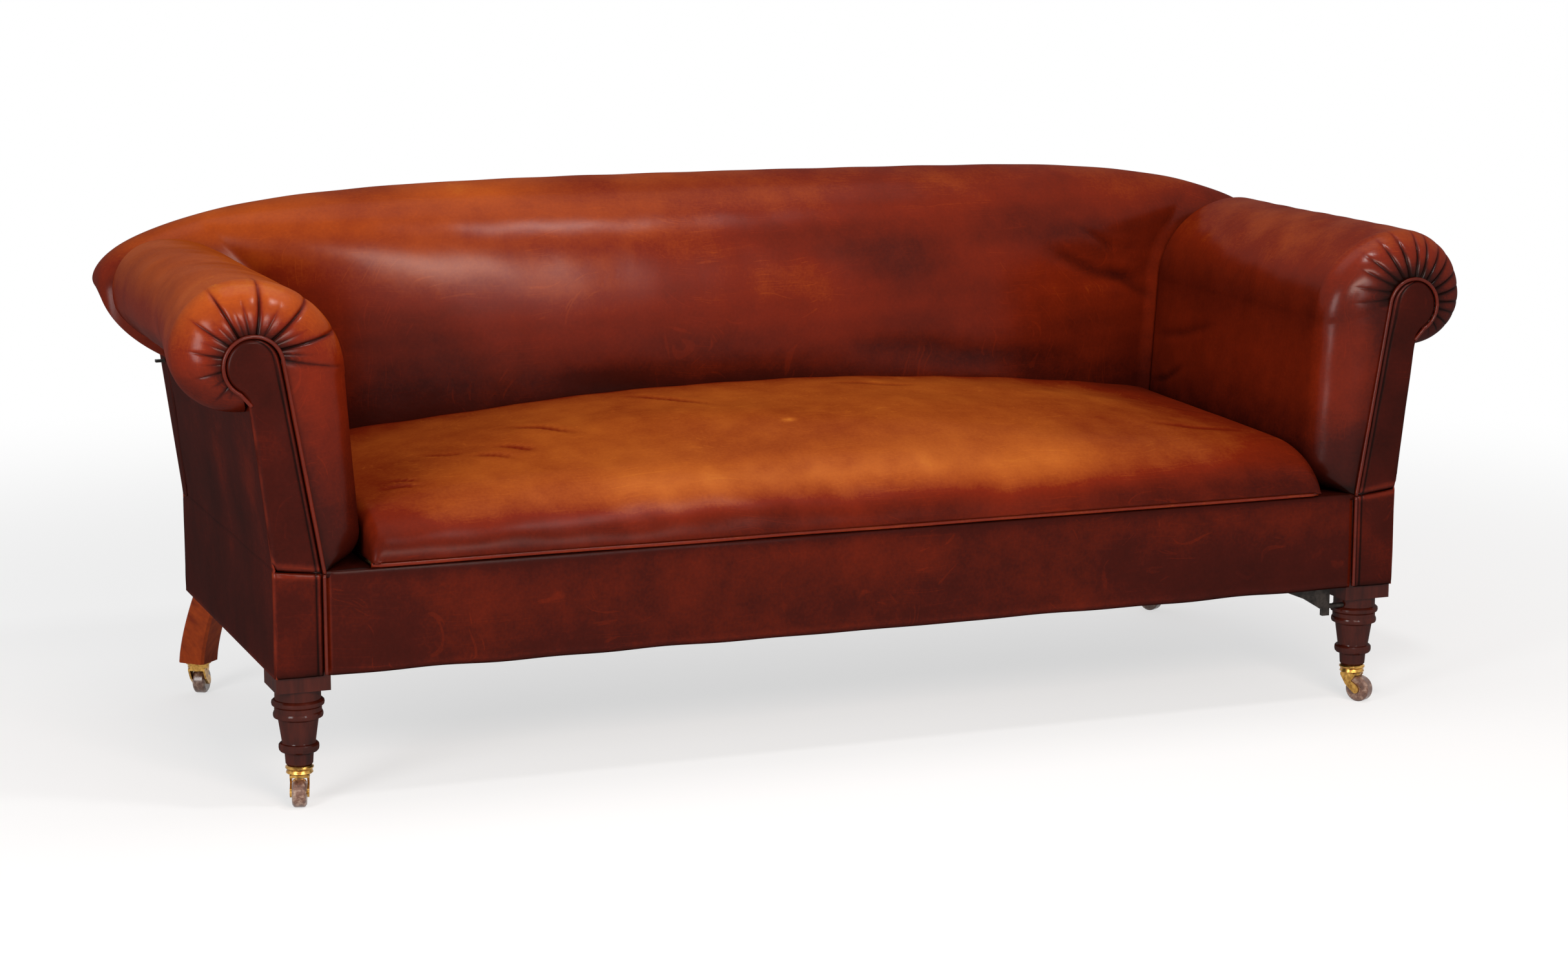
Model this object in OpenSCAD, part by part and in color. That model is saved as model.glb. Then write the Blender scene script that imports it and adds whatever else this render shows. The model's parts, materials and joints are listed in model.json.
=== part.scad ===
// Smooth leather chesterfield sofa with two drop ends, on turned front legs and brass castors.
// Millimetres. X runs along the sofa, Y goes from the front to the back, Z is up from the floor.
// Lengths along Y are first measured from the axis of the front legs, then moved to the middle.

/* [Overall] */
// Half of the width over both arm rolls
half_w = 1049; // [1040:1:1060]
// Height of the back roll above the floor
back_top = 840; // [830:1:850]
// Underside of the seat frame above the floor
frame_z = 200; // [197:1:203]
// Distance from the outside of an arm roll in to a front leg axis
leg_inset = 171; // [169:1:173]
// Front of the leather on the front rail, ahead of the leg axis
front_out = 47; // [46:0.5:48]
// Rear face of the fixed frame behind the leg axis
frame_rear = 599; // [598:1:602]
// Thickness of the leather
hide = 2.4; // [2.2:0.1:2.6]

/* [Arms] */
// Radius of the outer half of the arm roll
roll_r = 104; // [100:1:106]
// Height of the centre of the arm roll
roll_z = 668; // [664:1:672]
// Width of an arm over its pad and its roll, low down
arm_width = 269; // [265:1:273]
// How far the inner face leans out between seat and shoulder
arm_lean = 15; // [12:1:18]
// Rear end of an arm behind the leg axis
arm_rear = 558; // [550:1:560]
// Radius of the keyhole scroll on the arm front
scroll_r = 40; // [38:1:42]
// Depth of the rounded, pleated arm front
nose_depth = 62; // [58:1:66]
// Width of the arm front panel at the fold
facing_w = 72; // [70:1:74]
// Height of the fold about which the arm drops
fold_z = 361; // [360:0.5:363]

/* [Back] */
// Radius of the back roll
back_roll_r = 104; // [100:1:106]
// Distance of the centre of the back roll behind the leg axis
back_roll_y = 638; // [636:1:640]
// Front of the inside back in the middle, behind the leg axis
back_front = 482; // [478:1:488]
// How far a rolled end of the back stops short of the arm roll
wing_inset = 6; // [3:0.5:11]

/* [Seat] */
// Height of the seam between seat and front border
seat_seam = 359; // [357:1:361]
// Height of the seat leather beside the arms
seat_side = 430; // [426:1:434]
// Rise of the seat from the arms to the middle
seat_crown = 72; // [66:1:78]
// How far the seat front stands ahead of the leg axis
seat_nose = 60; // [58:1:62]

/* [Legs] */
// Side of the square block over a turned leg
leg_block = 80; // [78:1:82]
// Radius of the largest turned ring
leg_ring_r = 38.7; // [37:0.1:39.5]
// Side of the square rear leg
rear_leg_side = 48; // [44:1:50]
// Height of the cut end of a rear leg
rear_leg_end = 57; // [56:0.5:60]
// How far a rear leg sweeps back
rear_leg_sweep = 140; // [130:1:145]

/* [Castors] */
// Radius of a castor wheel
wheel_r = 21; // [20.5:0.1:21.5]
// Width of a castor wheel
wheel_w = 21; // [19:0.5:22]
// Trail of a castor wheel behind its swivel
trail = 15; // [13:0.5:16]
// Swivel heading of the front left castor
heading_fl = -106; // [-130:1:-80]
// Swivel heading of the front right castor
heading_fr = -62; // [-90:1:-40]
// Swivel heading of the rear left castor
heading_rl = 62; // [40:1:90]
// Swivel heading of the rear right castor
heading_rr = 118; // [90:1:140]

/* [Hidden] */

// General fits
fit_gap = 0.3;       // between pieces that only rest on each other
run_gap = 0.05;      // radial clearance of a pin in its bore
over = 1;            // overrun of every cut
tiny = 0.000001;     // keeps a division away from zero
round_fn = 64;

// Colours
wood_colour = "burlywood";
mahogany = "saddlebrown";
leather_colour = "brown";
roll_colour = "sienna";
padding_colour = "wheat";
brass_colour = "goldenrod";
iron_colour = "dimgray";
cloth_colour = "tan";

// Outline of the whole sofa
rear_out = back_roll_y + back_roll_r;
mid_y = (rear_out - seat_nose) / 2;
leg_x = half_w - leg_inset;
arm_in = half_w - arm_width;
back_half_w = half_w - wing_inset;
side_in = leg_x + leg_block / 2;
side_out = side_in + hide;

function lerp(a, b, t) = a + (b - a) * t;
function at_y(points, y) = [for (p = points) [p.x, y, p.y]];

// Places the finished sofa over the origin
module placed() {
  translate([0, -mid_y, 0]) children();
}
// A piece drawn on the right side, mirrored for the left one
module sided(side) {
  placed() {
    if (side < 0) {
      mirror([1, 0, 0]) children();
    } else {
      children();
    }
  }
}
module both() {
  for (side = [-1, 1]) sided(side) children();
}
// A block given by its two corners
module block(low, high) {
  translate(low) cube(high - low);
}
// A prism whose outline is drawn in X and Z
module prism_y(y_from, y_to, outline) {
  translate([0, y_to, 0]) rotate([90, 0, 0]) linear_extrude(height = y_to - y_from) polygon(outline);
}
// A prism whose outline is drawn in Y and Z
module prism_x(x_from, x_to, outline) {
  translate([x_from, 0, 0]) rotate([90, 0, 90]) linear_extrude(height = x_to - x_from) polygon(outline);
}
// A round bar along Y that ends at y_to
module bar_y(x, y_to, z, r, length) {
  translate([x, y_to, z]) rotate([90, 0, 0]) cylinder(r = r, h = length, $fn = round_fn);
}

// A closed skin between two grids: rows cross columns points into the skin
function grid_faces(rows, cols, base, flip) = [for (r = [0:rows - 2]) for (c = [0:cols - 2])
  let (a = base + r * cols + c, b = a + 1, d = a + cols, e = d + 1)
  each flip ? [[a, b, d], [b, e, d]] : [[a, d, b], [b, d, e]]];
function rim_faces(chain, shift, flip) = [for (k = [0:len(chain) - 2])
  let (a = chain[k], b = chain[k + 1], d = a + shift, e = b + shift)
  each flip ? [[a, b, d], [b, e, d]] : [[a, d, b], [b, d, e]]];
module sheet(outer, inner) {
  rows = len(outer);
  cols = len(outer[0]);
  count = rows * cols;
  points = concat([for (row = outer) for (p = row) p], [for (row = inner) for (p = row) p]);
  first_row = [for (c = [0:cols - 1]) c];
  last_row = [for (c = [0:cols - 1]) (rows - 1) * cols + c];
  first_col = [for (r = [0:rows - 1]) r * cols];
  last_col = [for (r = [0:rows - 1]) r * cols + cols - 1];
  polyhedron(points = points, faces = concat(
    grid_faces(rows, cols, 0, false), grid_faces(rows, cols, count, true),
    rim_faces(first_row, count, true), rim_faces(last_row, count, false),
    rim_faces(first_col, count, false), rim_faces(last_col, count, true)));
}

// A closed solid through rings of equal point counts
module loft(rings) {
  n = len(rings[0]);
  m = len(rings);
  points = [for (ring = rings) for (p = ring) p];
  polyhedron(points = points, faces = concat(
    [[for (i = [0:n - 1]) i]],
    [[for (i = [0:n - 1]) (m - 1) * n + n - 1 - i]],
    [for (r = [0:m - 2]) for (i = [0:n - 1])
      let (j = (i + 1) % n, a = r * n + i, b = r * n + j, d = a + n, e = b + n)
      each [[a, d, b], [b, d, e]]]));
}

// Moves every point of a grid into the skin
function grid_normal(g, r, c) = let (
  rows = len(g), cols = len(g[0]),
  dr = g[min(r + 1, rows - 1)][c] - g[max(r - 1, 0)][c],
  dc = g[r][min(c + 1, cols - 1)] - g[r][max(c - 1, 0)],
  n = cross(dr, dc))
  n / max(norm(n), tiny);
function inset(g, d) = [for (r = [0:len(g) - 1]) [for (c = [0:len(g[0]) - 1]) g[r][c] + d * grid_normal(g, r, c)]];

// Arm section in X and Z
roll_drop = 85;          // depth of the lower, flatter half of the roll
shoulder_drop = 36;      // the inner face turns into the roll this far below its centre
corner_r = 43;           // rounded lower edge of the inner face
corner_drop = 4;         // lowest padding below the fold
scroll_dx = 5;
scroll_dz = 13;
fold_slope = 10;         // the fold runs down towards the seat
neck_angle = 62;
roll_x = half_w - roll_r;
arm_top = roll_z + roll_r;
shoulder_z = roll_z - shoulder_drop;
arm_low = fold_z - corner_drop;
scroll_x = roll_x - scroll_dx;
scroll_z = roll_z - scroll_dz;
facing_in = side_out - facing_w;
facing_low = fold_z - fold_slope;
pad_t = roll_r - scroll_r;
neck = [roll_x, roll_z - roll_drop];
corner_n = 4;
inner_n = 5;
shoulder_n = 7;
roll_n = 12;

// Outer skin of an arm, from the bottom over the roll to the neck
inner_x = arm_in + arm_lean;
arm_skin = concat(
  [for (k = [0:corner_n - 1]) let (a = 270 - 90 * k / corner_n)
    [arm_in + corner_r + corner_r * cos(a), arm_low + corner_r + corner_r * sin(a)]],
  [for (k = [0:inner_n - 1]) lerp([arm_in, arm_low + corner_r], [inner_x, shoulder_z], k / inner_n)],
  [for (k = [0:shoulder_n - 1]) let (a = 180 - 90 * k / shoulder_n)
    [roll_x + (roll_x - inner_x) * cos(a), shoulder_z + (arm_top - shoulder_z) * sin(a)]],
  [for (k = [0:roll_n]) let (a = 90 - 180 * k / roll_n)
    [roll_x + roll_r * cos(a), roll_z + (a >= 0 ? roll_r : roll_drop) * sin(a)]]);

// Edge of the scroll board, with one point for each point of the skin
edge_lean = atan((scroll_x - scroll_r - facing_in) / (scroll_z - facing_low));
edge_start = [facing_in, facing_low];
edge_end = [scroll_x - scroll_r * cos(edge_lean), scroll_z + scroll_r * sin(edge_lean)];
corner_run = corner_r * PI / 2;
corner_share = corner_run / (corner_run + shoulder_z - arm_low - corner_r);
function on_scroll(a) = [scroll_x + scroll_r * cos(a), scroll_z + scroll_r * sin(a)];
arm_core = concat(
  [for (k = [0:corner_n - 1]) lerp(edge_start, edge_end, corner_share * k / corner_n)],
  [for (k = [0:inner_n - 1]) lerp(edge_start, edge_end, lerp(corner_share, 1, k / inner_n))],
  [for (k = [0:shoulder_n - 1]) on_scroll(lerp(180 - edge_lean, 90, k / shoulder_n))],
  [for (k = [0:roll_n]) on_scroll(lerp(90, -neck_angle, k / roll_n))]);

// Section between the skin (q = 0) and the scroll board (q = 1)
function arm_section(q, first) = [for (i = [first:len(arm_skin) - 1]) lerp(arm_skin[i], arm_core[i], q)];

// The fold: clearances round the hinge axis let the arm turn outward
stem_gap = 9.5;         // arm leather above the axis, on the outer side
fixed_gap = 2;          // frame leather below the axis, on the outer side
hinge_in = 8.4;         // axis inside the outer leather
hinge_drop = 9;         // axis above the seat frame
hinge_x = side_out - hinge_in;
arm_floor = fold_z + stem_gap;
fixed_top = fold_z - fixed_gap;

// Seat frame
rail_t = 24;
rail_lift = 5;          // rails above the lower edge of the leather
post_w = 44;
post_low_d = 50;
post_low_top = fixed_top - fold_slope;
leg_head_drop = 3;
rail_low = frame_z + rail_lift;
rail_top = fold_z - hinge_drop;
rail_front = front_out - hide;
rail_back = rail_t - rail_front;
back_rail_y = frame_rear - hide - rail_t;
post_in = leg_x - leg_block / 2;
post_side_in = side_in - post_w;
post_low_y = frame_rear - hide - post_low_d;

module front_rail() {
  placed() color(wood_colour) block([-post_in, -rail_front, rail_low], [post_in, rail_back, rail_top]);
}
module back_rail() {
  placed() color(wood_colour)
    block([-post_side_in, back_rail_y, rail_low], [post_side_in, back_rail_y + rail_t, rail_top]);
}
module side_rail(side) {
  sided(side) color(wood_colour) block([side_in - rail_t, leg_block / 2, rail_low], [side_in, post_low_y, rail_top]);
}

// Back frame: posts that are deep below the fold and lean above it
wing_gap = 2;            // between an arm and the back
wing_pad = 17;           // leather and padding before the posts
post_drop = 150;         // top of the posts below the top of the back roll
post_top = back_top - post_drop;
lean_low = 373;
back_neck_rise = 19;
wing_drop = 68;
wing_room = 98;
wing_front = arm_rear + wing_gap;
post_front = wing_front + wing_pad;
post_rear = back_roll_y - hide;
back_neck_z = back_top - 2 * back_roll_r + back_neck_rise;
wing_neck = [back_half_w - wing_room, back_neck_z - wing_drop];
function rear_line(z) = lerp(frame_rear, back_roll_y, max(z - lean_low, 0) / (back_neck_z - lean_low));

module back_posts() {
  both() color(wood_colour) difference() {
    prism_x(post_side_in, side_in, [
      [post_low_y, frame_z], [post_low_y, post_low_top], [post_front, post_low_top],
      [post_front, post_top], [post_rear, post_top], [post_rear, back_neck_z],
      [frame_rear - hide, lean_low], [frame_rear - hide, frame_z]]);
    lever_slot();
  }
}
top_rail_side = 44;
top_rail_z = post_top - top_rail_side;
function back_frame_y(z) = rear_line(z) - hide;
module back_top_rail() {
  rear = back_frame_y(top_rail_z) - fit_gap;
  placed() color(wood_colour)
    block([-post_side_in, rear - top_rail_side, top_rail_z], [post_side_in, rear, post_top]);
}

// Stays stand on the back rail, with webbing on their front
stay_w = 45;
stay_t = 22;
stay_pitch_share = 0.54;
stay_n = 3;
web_t = 2;
web_w = 50;
back_web_share = 0.92;
back_web_n = 4;
function lean_strip(low, t, front) = [
  [back_frame_y(low) - front, low], [back_frame_y(low) - front, lean_low],
  [back_frame_y(top_rail_z) - front, top_rail_z], [back_frame_y(top_rail_z) - front + t, top_rail_z],
  [back_frame_y(low) - front + t, lean_low], [back_frame_y(low) - front + t, low]];
module back_stays() {
  placed() color(wood_colour) for (k = [0:stay_n - 1]) {
    x = (k - (stay_n - 1) / 2) * stay_pitch_share * arm_in;
    prism_x(x - stay_w / 2, x + stay_w / 2, lean_strip(rail_top, stay_t, stay_t));
  }
}
module back_webbing() {
  both() color(cloth_colour) for (k = [0:back_web_n - 1]) {
    x = post_side_in * back_web_share * (k + 1 / 2) / back_web_n;
    prism_x(x - web_w / 2, x + web_w / 2, lean_strip(rail_top, web_t, stay_t + web_t));
  }
}

// Two stretchers tie the front rail to the back rail
stretcher_w = 50;
stretcher_h = 28;
stretcher_share = 0.327;
stretcher_x = arm_in * stretcher_share;
module seat_stretchers() {
  both() color(wood_colour) block([stretcher_x - stretcher_w / 2, rail_back, rail_low + over],
    [stretcher_x + stretcher_w / 2, back_rail_y, rail_low + over + stretcher_h]);
}

// Glued blocks brace the inner corners
corner_leg = 60;
corner_h = 70;
corner_top = rail_top - corner_drop * 3;
module corner_block(outline) {
  translate([0, 0, corner_top - corner_h]) linear_extrude(height = corner_h) polygon(outline);
}
module corner_blocks() {
  both() color(wood_colour) {
    corner_block([[post_in, rail_back], [post_in, rail_back + corner_leg], [post_in - corner_leg, rail_back]]);
    corner_block([[post_side_in, back_rail_y], [post_side_in - corner_leg, back_rail_y], [post_side_in, post_low_y]]);
  }
}

// Turned front leg with its square block
leg_block_low = 23;       // the square block reaches this far below the frame
leg_turn_top = frame_z - leg_block_low;
leg_tip_z = 51;
leg_tip_r = 17;
leg_turn = leg_turn_top - leg_tip_z;
leg_shares = [
  [0.872, 1.000], [0.872, 0.865], [0.93, 0.857], [0.99, 0.840], [1.00, 0.818], [0.985, 0.796], [0.93, 0.782],
  [0.893, 0.772], [0.893, 0.722], [0.925, 0.708], [0.943, 0.690], [0.943, 0.668], [0.925, 0.650],
  [0.80, 0.636], [0.765, 0.625], [0.637, 0.352], [0.645, 0.342], [0.72, 0.334], [0.76, 0.318],
  [0.765, 0.285], [0.75, 0.258], [0.70, 0.240], [0.63, 0.232], [0.56, 0.222], [0.545, 0.208], [0.520, 0.095]];
pintle_r = 4;
pintle_hole = 16;
socket_rim_z = 60;
module pintle_bore(x, y, z) {
  translate([x, y, z - over]) cylinder(r = pintle_r + over, h = pintle_hole + over, $fn = round_fn);
}
module front_leg(side) {
  sided(side) color(mahogany) difference() {
    union() {
      translate([leg_x, 0, 0])
        block([-leg_block / 2, -leg_block / 2, leg_turn_top], [leg_block / 2, leg_block / 2, post_low_top - leg_head_drop]);
      translate([leg_x, 0, 0]) rotate_extrude($fn = round_fn) polygon(concat([[0, leg_turn_top]],
        [for (p = leg_shares) [leg_ring_r * p.x, leg_tip_z + leg_turn * p.y]],
        [[leg_tip_r, socket_rim_z - fit_gap], [leg_tip_r, leg_tip_z], [0, leg_tip_z]]));
    }
    pintle_bore(leg_x, 0, leg_tip_z);
  }
}

// Sabre rear leg, square in section and set corner forward
rear_leg_shift = 6;
rear_leg_x = leg_x + rear_leg_shift;
rear_leg_out = 101;
rear_leg_y = frame_rear + rear_leg_out;
rear_bend_share = 1.35;
rear_chamfer = 3;
rear_leg_n = 9;
rear_half = rear_leg_side / sqrt(2) - rear_chamfer;
function rear_leg_centre(z) = rear_leg_y
  - rear_leg_sweep * pow((z - rear_leg_end) / (frame_z - rear_leg_end), rear_bend_share);
function rear_leg_ring(z) = [for (a = [0:90:270]) for (s = [-1, 1])
  [rear_leg_x + rear_half * cos(a) - s * rear_chamfer * sin(a),
   rear_leg_centre(z) + rear_half * sin(a) + s * rear_chamfer * cos(a), z]];
module rear_leg(side) {
  sided(side) color(mahogany) difference() {
    loft([for (k = [0:rear_leg_n]) rear_leg_ring(lerp(rear_leg_end, frame_z, k / rear_leg_n))]);
    pintle_bore(rear_leg_x, rear_leg_y, rear_leg_end);
  }
}

// Castors: a socket on the leg, a swivelling fork with its riveted axle, and a wheel
socket_floor = 4;
socket_r = 20.8;
socket_low_r = 17.6;
socket_edge = 2.4;
socket_plate_t = 3;
socket_low = leg_tip_z - socket_floor;
fork_top_gap = 0.5;
fork_plate_t = 4;
fork_plate_r = 15;
fork_top = socket_low - fork_top_gap;
cheek_t = 3;
cheek_gap = 0.6;
cheek_back = 13;
cheek_waist = 7;
axle_r = 2.8;
boss_r = 6.5;
pintle_len = 16;
wheel_edge = 4;
cheek_y = wheel_w / 2 + cheek_gap;

function is_front(name) = name[0] == "f";
function is_left(name) = name[1] == "l";
function swivel_x(name) = (is_left(name) ? -1 : 1) * (is_front(name) ? leg_x : rear_leg_x);
function swivel_y(name) = is_front(name) ? 0 : rear_leg_y;
function heading(name) = name == "fl" ? heading_fl : name == "fr" ? heading_fr
  : name == "rl" ? heading_rl : heading_rr;

module socket_cup() {
  rotate_extrude($fn = round_fn) polygon([
    [pintle_r + run_gap, socket_low], [socket_low_r, socket_low],
    [socket_low_r + socket_edge, leg_tip_z - socket_floor / 2],
    [socket_r - socket_edge, socket_rim_z - socket_floor - socket_edge],
    [socket_r, socket_rim_z - socket_floor], [socket_r, socket_rim_z - socket_edge],
    [socket_r - socket_edge, socket_rim_z], [leg_tip_r + run_gap, socket_rim_z],
    [leg_tip_r + run_gap, leg_tip_z], [pintle_r + run_gap, leg_tip_z]]);
}
module socket_plate() {
  rotate_extrude($fn = round_fn) polygon([
    [pintle_r + run_gap, socket_low], [socket_low_r, socket_low],
    [socket_low_r, rear_leg_end - socket_plate_t], [socket_r, rear_leg_end - socket_plate_t],
    [socket_r, rear_leg_end], [pintle_r + run_gap, rear_leg_end]]);
}
module castor_sockets() {
  placed() color(brass_colour) {
    for (name = ["fl", "fr"]) translate([swivel_x(name), swivel_y(name), 0]) socket_cup();
    for (name = ["rl", "rr"]) translate([swivel_x(name), swivel_y(name), 0]) socket_plate();
  }
}

// A castor's own frame: X points along the trail, Y along the axle
module castor_frame(name) {
  placed() translate([swivel_x(name), swivel_y(name), 0]) rotate([0, 0, heading(name)]) children();
}
module fork_cheek(y_low) {
  prism_y(y_low, y_low + cheek_t, [
    [-cheek_back, fork_top], [-cheek_back, fork_top - fork_plate_t],
    [-cheek_waist / 2, wheel_r + boss_r], [trail - boss_r, wheel_r - boss_r / 2],
    [trail, wheel_r - boss_r], [trail + boss_r, wheel_r],
    [trail + boss_r / 2, wheel_r + boss_r], [cheek_waist, wheel_r + 2 * boss_r],
    [cheek_back, fork_top - fork_plate_t], [cheek_back, fork_top]]);
  bar_y(trail, y_low + cheek_t, wheel_r, boss_r, cheek_t);
}
module castor_fork(name) {
  cheek_out = cheek_y + cheek_t;
  castor_frame(name) color(brass_colour) {
    difference() {
      union() {
        translate([0, 0, fork_top - fork_plate_t]) cylinder(r = fork_plate_r, h = fork_plate_t, $fn = round_fn);
        translate([0, 0, fork_top - fork_plate_t])
          cylinder(r = pintle_r, h = fork_plate_t + pintle_len, $fn = round_fn);
        fork_cheek(cheek_y);
        fork_cheek(-cheek_out);
        block([-cheek_back, -cheek_out, fork_top - fork_plate_t], [cheek_back, cheek_out, fork_top]);
      }
      bar_y(trail, cheek_out + over, wheel_r, axle_r + run_gap, 2 * (cheek_out + over));
    }
    bar_y(trail, cheek_out, wheel_r, axle_r, 2 * cheek_out);
  }
}
module castor_wheel(name) {
  castor_frame(name) color("rosybrown") translate([trail, 0, wheel_r]) rotate([90, 0, 0])
    rotate_extrude($fn = round_fn) polygon([
      [axle_r + run_gap, -wheel_w / 2], [wheel_r - wheel_edge, -wheel_w / 2],
      [wheel_r - wheel_edge / 4, -wheel_w / 2 + wheel_edge / 2], [wheel_r, -wheel_w / 2 + wheel_edge],
      [wheel_r, wheel_w / 2 - wheel_edge], [wheel_r - wheel_edge / 4, wheel_w / 2 - wheel_edge / 2],
      [wheel_r - wheel_edge, wheel_w / 2], [axle_r + run_gap, wheel_w / 2]]);
}

// Inner face of an arm at height z, where the inside back has to give way
crease_gap = 20;
function arm_face(z) = z > arm_top ? back_half_w + crease_gap
  : z > shoulder_z ? roll_x - (roll_x - inner_x) * sqrt(1 - pow((z - shoulder_z) / (arm_top - shoulder_z), 2))
  : lerp(arm_in, inner_x, max(z - arm_low - corner_r, 0) / (shoulder_z - arm_low - corner_r));

// Inside back: a section in Y and Z for each distance x from the middle
back_sink_power = 5;
back_rake = 14;
back_low_rise = 5;
end_drop = 140;          // the ends of the back roll close this far below its top
end_z = back_top - end_drop;
end_power = 4;
depth_power = 0.6;
tip_power = 0.35;
end_seam_share = 0.94;
pad_seam_share = 0.85;
wing_lean = 6;           // the frame of the middle back stands this far before the posts
pad_lift = 8;            // the padding of a rolled end stays clear of the closing seam
end_core_share = 0.85;
back_front_n = 4;
back_shoulder_n = 5;
back_roll_n = 6;
back_hem_n = 2;
back_low = fold_z + back_low_rise;
stem_half = wing_neck.x - fixed_gap;
function end_fade(x) = sqrt(max(1 - pow(abs(x) / back_half_w, end_power), 0));
neck_fade = end_fade(wing_neck.x);
function has_stem(x) = abs(x) <= stem_half;
function end_ratio(x) = has_stem(x) ? 1 : end_fade(x) / neck_fade;
function tip_ratio(x) = pow(end_ratio(x), tip_power);
function back_face(x, z) = back_roll_y - (back_roll_y
  - lerp(back_front, wing_front, pow(min(abs(x) / (arm_face(z) - crease_gap), 1), back_sink_power))) * tip_ratio(x);
function lean_foot(x) = lerp(fixed_top, wing_neck.y, (abs(x) - side_out) / (wing_neck.x - side_out));
function back_foot(x) = has_stem(x) ? max(back_low, lean_foot(x)) : end_z - (end_z - wing_neck.y) * end_ratio(x);
function back_ring(x, lift, seam) = let (
  e = end_fade(x), top = lerp(end_z, back_top, e), centre = lerp(end_z, back_top - back_roll_r, e),
  foot = back_foot(x), low = foot + (has_stem(x) ? 0 : lift), rake = back_rake * end_ratio(x), neck_z = end_z - (end_z - back_neck_z) * end_ratio(x),
  depth = back_roll_r * pow(e, depth_power), stem = has_stem(x),
  roll_steps = stem ? back_roll_n + back_hem_n : back_roll_n)
  concat(
    [for (k = [0:back_front_n - 1]) let (z = lerp(low, end_z, k / back_front_n))
      [x, back_face(x, z) + rake * (z - foot) / (end_z - foot), z]],
    [for (k = [0:back_shoulder_n - 1]) let (a = 180 - 90 * k / back_shoulder_n, z = end_z + (top - end_z) * sin(a))
      [x, back_roll_y + (back_roll_y - back_face(x, z) - rake) * cos(a), z]],
    [for (k = [0:roll_steps]) let (a = 90 - 180 * k / roll_steps)
      [x, back_roll_y + depth * cos(a), centre + (a >= 0 ? top - centre : centre - neck_z) * sin(a)]],
    stem ? [] : [for (k = [1:back_hem_n]) let (t = seam * k / back_hem_n)
      [x, lerp(back_roll_y, back_face(x, low), t), lerp(neck_z, low, t)]]);

// Space for the frame inside the padding
function core_x(x) = sign(x) * (min(abs(x), arm_in) + max(abs(x) - arm_in, 0) * end_core_share);
function back_core(x) = let (
  e = end_fade(x), r = scroll_r * e, top = lerp(end_z, back_top - pad_t, e),
  centre = lerp(end_z, back_top - back_roll_r, e), shoulder = centre - r,
  front = (back_roll_y - post_front + fit_gap + (abs(x) < arm_in ? wing_lean : 0)) * tip_ratio(x),
  low = back_foot(x) + (has_stem(x) ? 0 : pad_lift + r), stem = has_stem(x),
  roll_steps = stem ? back_roll_n + back_hem_n : back_roll_n)
  concat(
    [for (k = [0:back_front_n - 1]) [core_x(x), back_roll_y - front, lerp(low, shoulder, k / back_front_n)]],
    [for (k = [0:back_shoulder_n - 1]) let (a = 180 - 90 * k / back_shoulder_n)
      [core_x(x), back_roll_y + front * cos(a), shoulder + (top - shoulder) * sin(a)]],
    [for (k = [0:roll_steps]) let (a = 90 - 180 * k / roll_steps)
      [core_x(x), back_roll_y + r * cos(a), a >= 0 ? centre + (top - centre) * sin(a) : centre + r * sin(a)]],
    stem ? [] : [for (k = [1:back_hem_n]) let (t = pad_seam_share * k / back_hem_n)
      [core_x(x), back_roll_y - front * t, lerp(centre - r, low, t)]]);

// Stations along one half of the back, from the middle to the end
end_step = 4;
end_n = 4;
tip_angle = 88.5;
tip_start = asin((stem_half + end_step) / back_half_w);
middle_shares = [0, 0.37, 0.68, 0.885, 0.98];
wing_shares = [0.07, 0.32, 0.64];
lean_shares = [0, 0.5];
half_stations = concat(
  arm_in * middle_shares,
  [for (t = wing_shares) lerp(arm_in, side_in, t)],
  [for (t = lean_shares) lerp(side_in, stem_half, t)], [stem_half],
  [for (k = [0:end_n]) back_half_w * sin(lerp(tip_start, tip_angle, k / end_n))]);
back_stations = concat([for (k = [len(half_stations) - 1:-1:0]) half_stations[k]],
  [for (k = [1:len(half_stations) - 1]) -half_stations[k]]);
back_skin = [for (x = back_stations) back_ring(x, 0, end_seam_share)];
pad_stations = [for (k = [1:len(back_stations) - 2]) back_stations[k]];
back_pad = inset([for (x = pad_stations) back_ring(x, pad_lift, pad_seam_share)], hide + 2 * fit_gap);
pad_core_rows = [for (x = pad_stations) back_core(x)];
step_room_share = 0.06;  // the padding keeps away from the step where the wing leaves the frame
function near_step(x) = abs(abs(x) - stem_half) <= end_step ? step_room_share : 0;

module back_cover() {
  placed() color(roll_colour) sheet(back_skin, inset(back_skin, hide));
}
module back_stuffing() {
  placed() color(padding_colour) sheet([for (r = [0:len(back_pad) - 1]) [for (c = [0:len(back_pad[0]) - 1])
    let (p = back_pad[r][c], q = lerp(p, pad_core_rows[r][c], near_step(pad_stations[r])))
    [p.x, q.y, q.z]]], pad_core_rows);
}

// Leather over the outside of the back
module outside_back_cover() {
  top = back_neck_z - fit_gap;
  top_half = stem_half - fixed_gap;
  placed() color(leather_colour) intersection() {
    prism_x(-half_w, half_w, [
      [frame_rear - hide, frame_z], [frame_rear, frame_z], [frame_rear, lean_low],
      [back_roll_y, top], [post_rear, top], [frame_rear - hide, lean_low]]);
    prism_y(-rear_out, rear_out, [
      [-side_out, frame_z], [side_out, frame_z], [side_out, fixed_top], wing_neck, [top_half, top],
      [-top_half, top], [-wing_neck.x, wing_neck.y], [-side_out, fixed_top]]);
  }
}

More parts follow.
